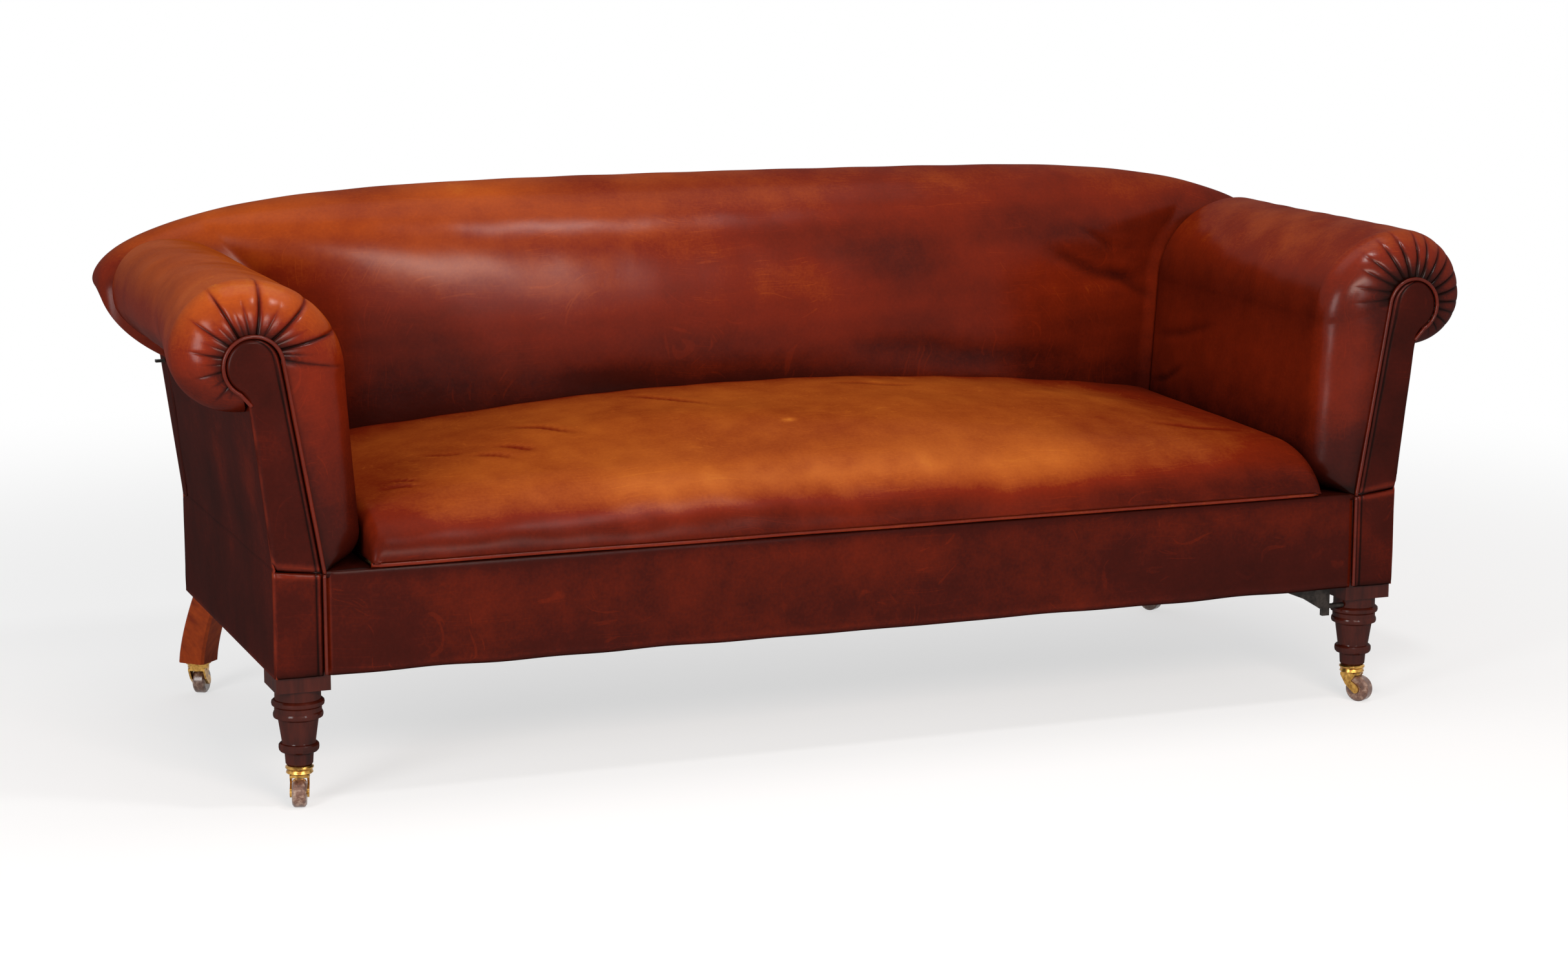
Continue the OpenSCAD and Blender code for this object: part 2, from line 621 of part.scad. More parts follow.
// Leather on the outer ends of the back, above the fold
end_clear = 4;
end_seam_clear = 18;
module back_end_covers() {
  rear_edge = hide + fit_gap;
  end_top = back_neck_z - end_seam_clear;
  both() color(leather_colour) difference() {
    intersection() {
      prism_y(wing_front, rear_out, [
        [side_in, fixed_top], [side_out, fixed_top], wing_neck, [wing_neck.x, back_neck_z],
        [wing_neck.x - hide, back_neck_z], [wing_neck.x - hide, wing_neck.y]]);
      prism_x(side_in - over, half_w, [
        [wing_front + rear_edge + end_clear, fixed_top - over], [frame_rear - rear_edge, fixed_top - over],
        [frame_rear - rear_edge, lean_low], [rear_line(end_top) - rear_edge, end_top],
        [wing_front + rear_edge + end_clear, wing_neck.y - end_clear]]);
    }
    lever_slot();
  }
}

// Seat skin over a grid of x and y
seat_side_gap = 3;
seat_back_gap = 2.5;
seat_edge_r = 22;
seat_front_run = 120;
seat_power = 0.85;
seat_rise_back = 9;
crown_run = 330;
welt_r = 4;
welt_proud = 1;
welt_top = seat_seam + welt_r;
seat_base_z = welt_top + 2 * fit_gap;
welt_inset = 15;         // the welt tapers out short of the arms
seat_half = arm_in - seat_side_gap;
seat_shares = [-1, -1, -0.985, -0.94, -0.85, -0.7, -0.52, -0.32, -0.11,
  0.11, 0.32, 0.52, 0.7, 0.85, 0.94, 0.985, 1, 1];
seat_front_n = 5;
seat_rear_n = 6;
seat_last = len(seat_shares) - 1;
front_run_y = seat_front_run - seat_nose;
function front_share(y) = sqrt(1 - pow(max(front_run_y - y, 0) / seat_front_run, 2));
function crown_share(y) = sin(90 * min((y + seat_nose) / crown_run, 1));
function seat_top(x, y) = lerp(seat_base_z, seat_side, front_share(y))
  + seat_rise_back * max(y, 0) / back_front
  + seat_crown * crown_share(y) * pow(max(1 - pow(x / seat_half, 2), 0), seat_power);
function seat_z(c, x, y) = c == 0 || c == seat_last ? seat_base_z - over
  : c == 1 || c == seat_last - 1 ? max(seat_top(x, y) - seat_edge_r, seat_base_z)
  : c == 2 || c == seat_last - 2 ? max(seat_top(x, y) - seat_edge_r / 4, seat_base_z + over)
  : seat_top(x, y);
function seat_row_y(r, x) = r <= seat_front_n
  ? -seat_nose + seat_front_run * (1 - cos(90 * r / seat_front_n))
  : lerp(front_run_y, back_face(x, seat_side) - seat_back_gap, (r - seat_front_n) / seat_rear_n);
seat_skin = [for (r = [0:seat_front_n + seat_rear_n]) [for (c = [0:seat_last])
  let (x = seat_half * seat_shares[c], y = seat_row_y(r, x)) [x, y, seat_z(c, x, y)]]];
module seat_cover() {
  placed() color("chocolate") sheet(seat_skin, inset(seat_skin, hide));
}

// Seat padding, with its lower face over the hessian
seat_pad = 62;
hessian_t = 1.5;
pad_in_share = 0.985;
pad_front = over - rail_front;
pad_low = rail_top + hessian_t + fit_gap;
function pad_under(x, y) = max(seat_top(x, y) - seat_pad, pad_low);
seat_under = [for (r = [0:seat_front_n + seat_rear_n]) [for (p = seat_skin[r])
  let (rear = back_face(p.x * pad_in_share, seat_side) - seat_back_gap)
  [p.x * pad_in_share, min(max(p.y, pad_front), rear), r == 0 ? seat_base_z + fit_gap : pad_under(p.x, p.y)]]];
module seat_stuffing() {
  placed() color(padding_colour) sheet(inset(seat_skin, hide + fit_gap), seat_under);
}

// Hessian over the springs, tacked along the inner edges of the frame
hessian_drop = 7;
hessian_gap = 6;         // the padding rests on the crowns of the hessian
hessian_half = post_in - fit_gap;
hessian_shares = [-1, -0.94, -0.88, -0.6, -0.3, 0, 0.3, 0.6, 0.88, 0.94, 1];
hessian_last = len(hessian_shares) - 1;
hessian_y_shares = [0, 0.068, 0.135, 0.254, 0.44, 0.625, 0.752, 0.827, 1];
function between_rails(shares) = [for (t = shares) lerp(rail_back + fit_gap, back_rail_y - fit_gap, t)];
hessian_ys = between_rails(hessian_y_shares);
hessian_edge = rail_top - hessian_drop;
function hessian_z(x, y) = pad_under(x, y) - hessian_gap;
function on_frame(r, c) = r == 0 || r >= len(hessian_ys) - 2 || c <= 1 || c >= hessian_last - 1;
hessian_top = [for (r = [0:len(hessian_ys) - 1]) [for (c = [0:hessian_last])
  let (x = hessian_half * hessian_shares[c], y = hessian_ys[r])
  [x, y, on_frame(r, c) ? hessian_edge : hessian_z(x, y)]]];
module seat_hessian() {
  placed() color(cloth_colour) sheet(hessian_top, [for (row = hessian_top) [for (p = row) p - [0, 0, hessian_t]]]);
}

// Hourglass springs between webbing and hessian
spring_x_shares = [0.141, 0.513, 0.782];
spring_y_shares = [0.203, 0.431, 0.659];
spring_xs = arm_in * spring_x_shares;
spring_ys = between_rails(spring_y_shares);
spring_end_r = 40;
spring_waist_r = 24;
spring_turns = 4;
spring_steps = 6;
spring_wire = 2;
spring_sides = 4;
spring_tuck = 8;         // clear of the curved hessian
spring_base = rail_low + fit_gap;
function spring_ring(t, h) = let (a = 360 * spring_turns * t,
  r = lerp(spring_waist_r, spring_end_r, pow(2 * t - 1, 2)), z = lerp(spring_wire, h - spring_wire, t))
  [for (k = [0:spring_sides - 1]) let (b = -360 * k / spring_sides, w = r + spring_wire * cos(b))
    [w * cos(a), w * sin(a), z + spring_wire * sin(b)]];
module spring(h) {
  rings = spring_turns * spring_steps;
  loft([for (k = [0:rings]) spring_ring(k / rings, h)]);
}
module seat_springs() {
  both() color("silver") for (x = spring_xs) for (y = spring_ys)
    translate([x, y, spring_base]) spring(hessian_z(x + spring_end_r, y) - spring_tuck - spring_base);
}

// Webbing under the springs, in two layers, and black cloth under it
web_front = 32;
cloth_t = 0.8;
module seat_webbing() {
  placed() color(cloth_colour) {
    for (y = spring_ys) block([-side_in, y - web_w / 2, rail_low - web_t], [side_in, y + web_w / 2, rail_low]);
    for (x = spring_xs) for (s = [-1, 1]) block([s * x - web_w / 2, -web_front, rail_low - 2 * web_t],
      [s * x + web_w / 2, frame_rear - hide, rail_low - web_t]);
  }
}
rear_leg_room = 2 * over;
module bottom_cloth() {
  wide = side_in - fit_gap;
  leg_in = rear_leg_x - rear_leg_side / sqrt(2) - rear_leg_room;
  leg_y = rear_leg_centre(frame_z) - rear_leg_side / sqrt(2) - rear_leg_room;
  placed() color("dimgray") translate([0, 0, frame_z]) linear_extrude(height = cloth_t) polygon([
    [-hessian_half, -bracket_front], [hessian_half, -bracket_front], [hessian_half, leg_block / 2 + over],
    [wide, leg_block / 2 + over], [wide, leg_y], [leg_in, leg_y], [leg_in, frame_rear - hide],
    [-leg_in, frame_rear - hide], [-leg_in, leg_y], [-wide, leg_y], [-wide, leg_block / 2 + over],
    [-hessian_half, leg_block / 2 + over]]);
}

// Outer leather of the fixed frame
border_end = 40;         // the border dips below the arm padding here
module front_border() {
  top = seat_seam - welt_r - fit_gap;
  end = facing_in - fit_gap;
  placed() color(leather_colour) prism_y(-front_out, -rail_front, [
    [-end, frame_z], [end, frame_z], [end, post_low_top], [end - border_end, post_low_top], [arm_in, top],
    [-arm_in, top], [border_end - end, post_low_top], [-end, post_low_top]]);
}
module seat_welt() {
  half = seat_half - welt_inset;
  placed() color(leather_colour) translate([-half, -front_out - welt_proud, seat_seam])
    rotate([0, 90, 0]) cylinder(r = welt_r, h = 2 * half, $fn = round_fn);
}
module post_facings() {
  both() color(leather_colour) prism_y(-front_out, -leg_block / 2, [
    [facing_in, frame_z], [side_out, frame_z], [side_out, fixed_top], [hinge_x, fixed_top], [facing_in, post_low_top]]);
}
module side_cover(side) {
  sided(side) color(leather_colour)
    block([side_in, -leg_block / 2, frame_z], [side_out, frame_rear - hide, fixed_top]);
}

// Arm frame: a scroll board at each end and three rails between them
board_t = 25;
board_q_share = 1.03;
throat_drop = 5;
board_front = rail_front - fit_gap;
rear_cover_y = arm_rear - hide;
board_back = board_t - board_front;
board_rear = rear_cover_y - fit_gap - board_t;
function throat(d) = [neck.x + scroll_dx - d, scroll_z - scroll_r * sin(neck_angle) - throat_drop];
function stem_edge(d) = [[neck.x - d, neck.y], [side_out - d, arm_floor]];
module arm_board(y) {
  inside = hide + fit_gap;
  prism_y(y, y + board_t, concat(arm_section(board_q_share, 1), [throat(inside)], stem_edge(inside)));
}
module arm_boards(side) {
  sided(side) color(wood_colour) {
    arm_board(-board_front);
    arm_board(board_rear);
  }
}
top_bar_w = 44;
top_bar_h = 36;
floor_bar_h = 28;
floor_bar_in = 12;
neck_bar = 24;
module arm_rails(side) {
  sided(side) color(wood_colour) {
    block([scroll_x - top_bar_w / 2, board_back, scroll_z - top_bar_h / 2],
      [scroll_x + top_bar_w / 2, board_rear, scroll_z + top_bar_h / 2]);
    block([facing_in + floor_bar_in, board_back, arm_floor], [side_in - fit_gap, board_rear, arm_floor + floor_bar_h]);
    block([neck.x - 2 * neck_bar, board_back, neck.y - 2 * neck_bar],
      [neck.x - neck_bar, board_rear, neck.y - neck_bar]);
  }
}

// Arm leather: rounded in to the scroll board at the front, then straight to the back
nose_n = 6;
nose_y = nose_depth - front_out;
nose_rows = [for (k = [nose_n:-1:0]) let (a = 90 * k / nose_n) [nose_y - nose_depth * sin(a), 1 - cos(a)]];
arm_rows = concat(nose_rows, [[lerp(nose_y, arm_rear, 1 / 2), 0], [arm_rear, 0]]);
arm_skin_grid = [for (row = arm_rows) at_y(arm_section(row[1], 0), row[0])];
module arm_cover(side) {
  sided(side) color(roll_colour) sheet(arm_skin_grid, inset(arm_skin_grid, hide));
}
pad_rows = [for (r = [1:len(arm_rows) - 1]) [min(arm_rows[r][0], rear_cover_y - fit_gap), arm_rows[r][1]]];
pad_skin = [for (row = pad_rows) at_y(arm_section(row[1], 0), row[0])];
pad_core = [for (row = pad_rows) at_y(arm_section(1, 0), max(row[0], fit_gap - board_front))];
module arm_stuffing(side) {
  sided(side) color(padding_colour) sheet(inset(pad_skin, hide + fit_gap), pad_core);
}

// Keyhole panel at the front and a plain panel at the rear end of the arm
facing_proud = 1.5;
facing_gap_share = 0.03;
hinge_room = 1.5;
rear_outline = [for (p = inset(arm_skin_grid, hide + fit_gap)[len(arm_rows) - 1]) [p.x, p.z]];
module arm_end_covers(side) {
  sided(side) color(leather_colour) {
    prism_y(-front_out - facing_proud, -board_front - fit_gap, concat(
      arm_section(1 + facing_gap_share, 0), [throat(0)], stem_edge(0),
      [[hinge_x + hinge_room, arm_floor - over / 2], [hinge_x + hinge_room, fold_z + over],
       [facing_in + over, facing_low + over]]));
    prism_y(rear_cover_y, arm_rear, concat(rear_outline, stem_edge(hide + fit_gap)));
  }
}

// Piping round the keyhole panel
piping_r = 2.6;
module arm_piping(side) {
  out = piping_r + fit_gap;
  aside = out * [-cos(edge_lean), sin(edge_lean)];
  low = edge_start + aside;
  high = edge_end + aside;
  y = -front_out - out;
  sided(side) color("maroon") {
    translate([scroll_x, y, scroll_z]) rotate([90, 0, 0]) rotate([0, 0, -neck_angle])
      rotate_extrude(angle = 180 - edge_lean + neck_angle, $fn = round_fn)
        translate([scroll_r + out, 0]) circle(r = piping_r, $fn = round_fn / 2);
    translate([low.x, y, low.y]) rotate([0, edge_lean, 0])
      cylinder(r = piping_r, h = norm(high - low) - fit_gap, $fn = round_fn / 2);
  }
}

// Outer leather of the arm stem
module outside_arm_cover(side) {
  top = neck.y - fit_gap;
  sided(side) color(leather_colour) prism_y(-board_front, arm_rear, [
    [side_in, arm_floor], [side_out, arm_floor], [neck.x, top], [neck.x - hide, top]]);
}

// Fold hinges: outer knuckles on the side rail, the middle one under the arm
knuckle_r = 6;
knuckle_len = 18;
knuckle_gap = 0.4;
knuckle_web = 1.5;
hinge_pin_r = 3.2;
hinge_shares = [0.161, 0.842];
hinge_ys = arm_rear * hinge_shares;
base_leaf_w = 13;
arm_leaf_w = 26;
leaf_t = 2.4;
module knuckle(y) {
  difference() {
    bar_y(hinge_x, y + knuckle_len, fold_z, knuckle_r, knuckle_len);
    bar_y(hinge_x, y + knuckle_len + over, fold_z, hinge_pin_r + run_gap, knuckle_len + 2 * over);
  }
}
module hinge_bases() {
  both() color(iron_colour) for (y = hinge_ys) for (shift = [-1, 1]) {
    low = y - knuckle_len / 2 + shift * (knuckle_len + knuckle_gap);
    knuckle(low);
    block([hinge_x - knuckle_web, low, rail_top], [hinge_x + knuckle_web, low + knuckle_len, fold_z - hinge_pin_r - over]);
    block([hinge_x - base_leaf_w, low, rail_top], [hinge_x + knuckle_web, low + knuckle_len, rail_top + leaf_t]);
  }
}
module hinge_leaves(side) {
  sided(side) color(iron_colour) for (y = hinge_ys) {
    low = y - knuckle_len / 2;
    knuckle(low);
    block([hinge_x - knuckle_web, low, fold_z + hinge_pin_r + over], [hinge_x + knuckle_web, low + knuckle_len, arm_floor]);
    block([hinge_x - arm_leaf_w, low, arm_floor - leaf_t], [hinge_x + knuckle_web, low + knuckle_len, arm_floor]);
  }
}
module hinge_pins() {
  length = 3 * knuckle_len + 2 * knuckle_gap;
  both() color("silver") for (y = hinge_ys) bar_y(hinge_x, y + length / 2, fold_z, hinge_pin_r, length);
}

// Iron bracket between the right front leg and the front rail
bracket_t = 8;
bracket_inset = 58;
bracket_x = leg_x - bracket_inset;
bracket_run = 104;
bracket_drop = 50;
bracket_rise = 40;
bracket_bolt_r = 4;
bracket_bolt_drop = 35;
bracket_bolt_z = frame_z - bracket_bolt_drop;
bracket_shares = [[1, 0], [0.75, 0.14], [0.44, 0.4], [0.125, 0.8], [0.125, 1]];
bracket_front = -rail_back - bracket_t - over;
module leg_bracket_right() {
  axis_y = rail_back + bracket_t / 2;
  leg_r = leg_ring_r * leg_shares[0].x;
  bolt_end = leg_x - sqrt(pow(leg_r, 2) - pow(axis_y + bracket_bolt_r, 2)) - fit_gap;
  placed() color(iron_colour) {
    prism_y(rail_back, rail_back + bracket_t, concat(
      [[bracket_x, frame_z - bracket_drop], [bracket_x, frame_z + bracket_rise],
       [bracket_x - bracket_run, frame_z + bracket_rise]],
      [for (p = bracket_shares) [bracket_x - bracket_run * p.x, frame_z - bracket_drop * p.y]]));
    translate([bracket_x, axis_y, bracket_bolt_z]) rotate([0, 90, 0])
      cylinder(r = bracket_bolt_r, h = bolt_end - bracket_x, $fn = round_fn);
  }
}

// Catch levers on the outer ends of the back
lever_back = 30;
lever_drop = 8;
lever_reach = 14;
lever_y = wing_front + lever_back;
lever_z = wing_neck.y - lever_drop;
lever_out = wing_neck.x + lever_reach;
lever_w = 10;
lever_t = 4;
lever_room = 9;
lever_inset = 18;
lever_pivot_x = side_in - lever_inset;
lever_pin_r = 3;
lever_boss_r = 5.5;
lever_tail = 20;
lever_pin_len = 24;
module lever_slot() {
  block([post_side_in - over, lever_y - lever_w / 2 - fit_gap, lever_z - lever_room],
    [lever_out, lever_y + lever_w / 2 + fit_gap, lever_z + lever_room]);
  bar_y(lever_pivot_x, lever_y + lever_pin_len / 2 + fit_gap, lever_z, lever_pin_r + run_gap, lever_pin_len + 2 * fit_gap);
}
module release_lever(side) {
  sided(side) color("black") {
    block([lever_pivot_x - lever_tail, lever_y - lever_w / 2, lever_z - lever_t / 2],
      [lever_out, lever_y + lever_w / 2, lever_z + lever_t / 2]);
    bar_y(lever_pivot_x, lever_y + lever_w / 2, lever_z, lever_boss_r, lever_w);
    bar_y(lever_pivot_x, lever_y + lever_pin_len / 2, lever_z, lever_pin_r, lever_pin_len);
  }
}

// Draws the chosen piece
front_rail();
back_rail();
side_rail(-1);  // side_rail_left
side_rail(1);  // side_rail_right
seat_stretchers();
corner_blocks();
front_leg(-1);  // front_leg_left
front_leg(1);  // front_leg_right
rear_leg(-1);  // rear_leg_left
rear_leg(1);  // rear_leg_right
back_posts();
back_top_rail();
back_stays();
seat_webbing();
seat_springs();
seat_hessian();
seat_stuffing();
seat_cover();
seat_welt();
front_border();
post_facings();
side_cover(-1);  // side_cover_left
side_cover(1);  // side_cover_right
bottom_cloth();
back_webbing();
back_stuffing();
back_cover();
outside_back_cover();
back_end_covers();
leg_bracket_right();
hinge_bases();
hinge_pins();
arm_boards(-1);  // arm_boards_left
arm_rails(-1);  // arm_rails_left
arm_stuffing(-1);  // arm_stuffing_left
arm_cover(-1);  // arm_cover_left
arm_end_covers(-1);  // arm_end_covers_left
arm_piping(-1);  // arm_piping_left
outside_arm_cover(-1);  // outside_arm_cover_left
hinge_leaves(-1);  // hinge_leaves_left
arm_boards(1);  // arm_boards_right
arm_rails(1);  // arm_rails_right
arm_stuffing(1);  // arm_stuffing_right
arm_cover(1);  // arm_cover_right
arm_end_covers(1);  // arm_end_covers_right
arm_piping(1);  // arm_piping_right
outside_arm_cover(1);  // outside_arm_cover_right
hinge_leaves(1);  // hinge_leaves_right
release_lever(-1);  // release_lever_left
release_lever(1);  // release_lever_right
castor_sockets();
castor_fork("fl");  // castor_fork_fl
castor_fork("fr");  // castor_fork_fr
castor_fork("rl");  // castor_fork_rl
castor_fork("rr");  // castor_fork_rr
castor_wheel("fl");  // castor_wheel_fl
castor_wheel("fr");  // castor_wheel_fr
castor_wheel("rl");  // castor_wheel_rl
castor_wheel("rr");  // castor_wheel_rr
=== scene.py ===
"""Smooth leather chesterfield sofa with two drop arms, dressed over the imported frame.

Shapes are worked out in millimetres, with Y measured from the axis of the front legs as in the part's source,
and moved to the frame's metres when a mesh is made. Pieces of the left side mirror those of the right.
"""
import json
import math

import bpy
import numpy as np
from mathutils import Matrix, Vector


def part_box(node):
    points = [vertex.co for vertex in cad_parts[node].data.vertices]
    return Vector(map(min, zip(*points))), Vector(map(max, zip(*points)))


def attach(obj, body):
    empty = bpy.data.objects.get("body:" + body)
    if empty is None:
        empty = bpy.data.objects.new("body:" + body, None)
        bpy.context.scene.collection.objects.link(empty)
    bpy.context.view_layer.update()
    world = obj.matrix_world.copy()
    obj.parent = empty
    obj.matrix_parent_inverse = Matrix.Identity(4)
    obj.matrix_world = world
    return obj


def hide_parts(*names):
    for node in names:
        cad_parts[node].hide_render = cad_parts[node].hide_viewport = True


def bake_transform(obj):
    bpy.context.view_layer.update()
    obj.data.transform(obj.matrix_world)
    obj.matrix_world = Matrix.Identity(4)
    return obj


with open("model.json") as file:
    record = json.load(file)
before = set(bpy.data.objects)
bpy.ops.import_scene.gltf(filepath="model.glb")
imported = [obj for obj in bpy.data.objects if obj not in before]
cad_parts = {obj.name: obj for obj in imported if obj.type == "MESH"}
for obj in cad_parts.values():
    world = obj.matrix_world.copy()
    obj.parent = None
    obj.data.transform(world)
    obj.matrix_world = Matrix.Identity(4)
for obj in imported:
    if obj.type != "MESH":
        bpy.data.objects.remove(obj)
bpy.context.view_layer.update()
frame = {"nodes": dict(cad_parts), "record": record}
scene = bpy.context.scene
cad = frame["nodes"]

# Camera, as fitted to the photograph
IMAGE_W = 2428
FOCAL_PX = 5231.402
SENSOR_MM = 36.0
YAW, PITCH, ROLL = 0.3696, 0.18626, 0.0019
CAMERA_MM = (-1940.485, -4693.935, 1367.961)

# Sizes shared with the part's source
MM = 0.001
MID_Y = 341.0
HIDE, FRAME_Z, FRONT, REAR = 2.4, 200.0, -47.0, 599.0
SIDE_OUT, FACING_IN = 920.4, 848.4
FOLD_Z, ARM_FLOOR, FIXED_TOP = 361.0, 370.5, 359.0
SIDES = (("left", -1), ("right", 1))
# Arms
ARM_IN, ARM_LOW, ARM_REAR, CORNER_R, INNER_X, SHOULDER_Z = 780.0, 357.0, 558.0, 43.0, 795.0, 632.0
ROLL_X, ROLL_Z, ROLL_R, ROLL_DROP = 945.0, 668.0, 104.0, 85.0
SCROLL_X, SCROLL_Z, SCROLL_R, NECK_ANGLE = 940.0, 655.0, 40.0, 62.0
NOSE_Y, NOSE_DEPTH = 15.0, 62.0
# Back
BACK_TOP, BACK_ROLL_Y, BACK_R, BACK_FRONT, BACK_HALF = 840.0, 638.0, 104.0, 482.0, 1043.0
BACK_LOW, BACK_NECK_Z, LEAN_LOW, STEM_HALF = 366.0, 651.0, 373.0, 943.0
WING_X, WING_Z, WING_FRONT = 945.0, 583.0, 560.0
# Seat
SEAT_BASE, SEAT_SIDE, SEAT_HALF, SEAT_NOSE, WELT_Z = 363.6, 430.0, 777.0, 60.0, 359.0


# Numbers and fields

def smooth(t):
    t = np.clip(t, 0, 1)
    return t * t * (3 - 2 * t)


def lerp(a, b, t):
    return a + (b - a) * t


def rise(value, start, run):
    """0 at the start and 1 a run further on, smooth between; a run below zero counts downwards."""
    return smooth((value - start) / run)


def ridge(value, centre, width):
    """1 at the centre, falling away on both sides."""
    return np.exp(-((value - centre) / width) ** 2)


def fade(distance, reach):
    """1 at no distance, dying away with it."""
    return np.exp(-distance / reach)


def from_ends(count):
    """0 at both ends of a row and counting up to its middle."""
    return np.minimum(np.arange(count), np.arange(count)[::-1])


def waves(points, length, seed, count=7):
    """Gentle seeded unevenness between about -1 and 1, for points in millimetres."""
    rng = np.random.default_rng(seed)
    total = np.zeros(points.shape[:-1])
    for _ in range(count):
        way = rng.normal(size=3)
        way *= 2 * math.pi / length * rng.uniform(0.6, 1.7) / np.linalg.norm(way)
        total += np.sin(points @ way + rng.uniform(0, 2 * math.pi))
    return total / math.sqrt(count * 2)


def creases(u, v, lines):
    """Height field of wrinkles, each (points, width, depth): a groove with a low lip on either side."""
    field = np.zeros(np.shape(u))
    for points, width, depth in lines:
        points = np.array(points, float)
        nearest = np.full(field.shape, 1e9)
        along = np.zeros(field.shape)
        for k, (a, b) in enumerate(zip(points, points[1:])):
            run = b - a
            t = np.clip(((u - a[0]) * run[0] + (v - a[1]) * run[1]) / (run @ run), 0, 1)
            distance = np.hypot(u - a[0] - t * run[0], v - a[1] - t * run[1])
            along = np.where(distance < nearest, (k + t) / (len(points) - 1), along)
            nearest = np.minimum(distance, nearest)
        ends = np.sin(np.clip(along, 0.04, 0.96) * math.pi) ** 0.6
        lip = 0.45 * ridge(nearest, 2.1 * width, 1.3 * width)
        field -= depth * (ridge(nearest, 0, width) - lip) * ends
    return field


# Outlines and grids

def arc(x, z, rx, rz, start, stop, count, end=False):
    a = np.radians(np.linspace(start, stop, count, endpoint=end))
    return np.stack([x + rx * np.cos(a), z + rz * np.sin(a)], 1)


def line(a, b, count, end=False):
    return lerp(np.array(a, float), np.array(b, float), np.linspace(0, 1, count, endpoint=end)[:, None])


def boundary(points, count):
    """Points evenly spaced along a polyline."""
    steps = np.concatenate([[0], np.cumsum(np.hypot(*np.diff(points, axis=0).T))])
    t = np.linspace(0, steps[-1], count)
    return np.stack([np.interp(t, steps, points[:, k]) for k in (0, 1)], 1)


def upright(flat, y):
    """Points (x, z) set up at the distances y."""
    return np.stack([flat[..., 0], np.broadcast_to(y, flat.shape[:-1]), flat[..., 1]], -1)


def moved(grid, **places):
    """A copy of a grid with its x, y or z put elsewhere, such as inside the piece."""
    copy = grid.copy()
    for axis, place in places.items():
        copy[..., "xyz".index(axis)] = place
    return copy


def behind(grid, distance):
    return moved(grid, y=grid[..., 1] + distance)


def outward(grid, inside):
    """Unit normals of a grid, pointing away from the points inside it."""
    normal = np.cross(np.gradient(grid, axis=0), np.gradient(grid, axis=1))
    normal = normal / np.maximum(np.linalg.norm(normal, axis=2, keepdims=True), 1e-9)
    return -normal if np.sum(normal * (inside - grid)) > 0 else normal


def tones(level, dark=0.0, wear_and_sheen=0.0):
    """The leather's shading: colour level, painted shade in folds, seams and gaps, and rubbed places that
    also carry painted highlights.
    """
    return np.stack(np.broadcast_arrays(level, dark, wear_and_sheen), -1)


# Meshes

def metres(points):
    """The part's millimetres in the frame's metres."""
    return (np.asarray(points) - (0, MID_Y, 0)) * MM


def signed_volume(points, faces):
    a, b, c, d = (points[faces[:, k]] for k in range(4))
    return np.sum(np.cross(a, b) * c + np.cross(a, c) * d)


def add_mesh(name, points, faces, body, slot, replaced, tone, side, material=None):
    points = points * (side, 1, 1)
    if signed_volume(points - points.mean(axis=0), faces) < 0:
        faces = faces[:, ::-1]
    places = metres(points)
    mesh = bpy.data.meshes.new(name)
    mesh.from_pydata(places.tolist(), [], faces.tolist())
    mesh.shade_smooth()
    rest = mesh.attributes.new("rest", "FLOAT_VECTOR", "POINT")
    rest.data.foreach_set("vector", places.astype(np.float32).ravel())
    shade = np.ones((len(points), 4), np.float32)
    shade[:, :3] = tone
    mesh.attributes.new("tone", "FLOAT_COLOR", "POINT").data.foreach_set("color", shade.ravel())
    obj = bpy.data.objects.new(name, mesh)
    scene.collection.objects.link(obj)
    mesh.materials.append(material or MATERIALS[slot])
    if replaced:
        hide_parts(*replaced)
    if body:
        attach(obj, body)
    return obj


def quads(index):
    """The faces between the rows and columns of a grid of point numbers."""
    return np.stack([index[:-1, :-1], index[:-1, 1:], index[1:, 1:], index[1:, :-1]], -1).reshape(-1, 4)


def skin(name, grid, inside, body, replaced=(), tone=(0.5, 0, 0), side=1, slot="leather_panel", thick=HIDE,
         material=None):
    """A closed skin of even thickness whose outer face is the grid."""
    under = grid - outward(grid, inside) * thick
    index = np.arange(grid[..., 0].size).reshape(grid.shape[:2])
    faces = [quads(index), quads(index + index.size)[:, ::-1]]
    for rim in (index[0], index[-1, ::-1], index[::-1, 0], index[:, -1]):
        faces.append(np.stack([rim[1:], rim[:-1], rim[:-1] + index.size, rim[1:] + index.size], 1))
    points = np.concatenate([grid.reshape(-1, 3), under.reshape(-1, 3)])
    shade = np.tile(np.broadcast_to(tone, grid.shape).reshape(-1, 3), (2, 1))
    return add_mesh(name, points, np.concatenate(faces), body, slot, replaced, shade, side, material)


def cord(name, path, radius, body, replaced, tone, side=1, sides=10):
    """A round cord of leather along a path that keeps to about the same Y."""
    run = np.gradient(path, axis=0)
    run /= np.linalg.norm(run, axis=1, keepdims=True)
    across = np.cross(run, (0.0, 1.0, 0.0))
    across /= np.linalg.norm(across, axis=1, keepdims=True)
    upward = np.cross(run, across)
    turn = np.linspace(0, 2 * math.pi, sides, endpoint=False)[:, None]
    rings = path[:, None] + radius * (across[:, None] * np.cos(turn) + upward[:, None] * np.sin(turn))
    index = np.arange(len(path) * sides).reshape(len(path), sides)
    index = np.concatenate([index, index[:, :1]], 1)
    first_end, last_end = len(path) * sides, len(path) * sides + 1
    faces = quads(index).tolist()
    for k in range(0, sides, 2):
        faces += [[first_end, *index[0, [k + 2, k + 1, k]]], [last_end, *index[-1, k:k + 3]]]
    points = np.concatenate([rings.reshape(-1, 3), path[[0, -1]]])
    add_mesh(name, points, np.array(faces), body, "leather_trim", replaced, tone, side)


# Materials

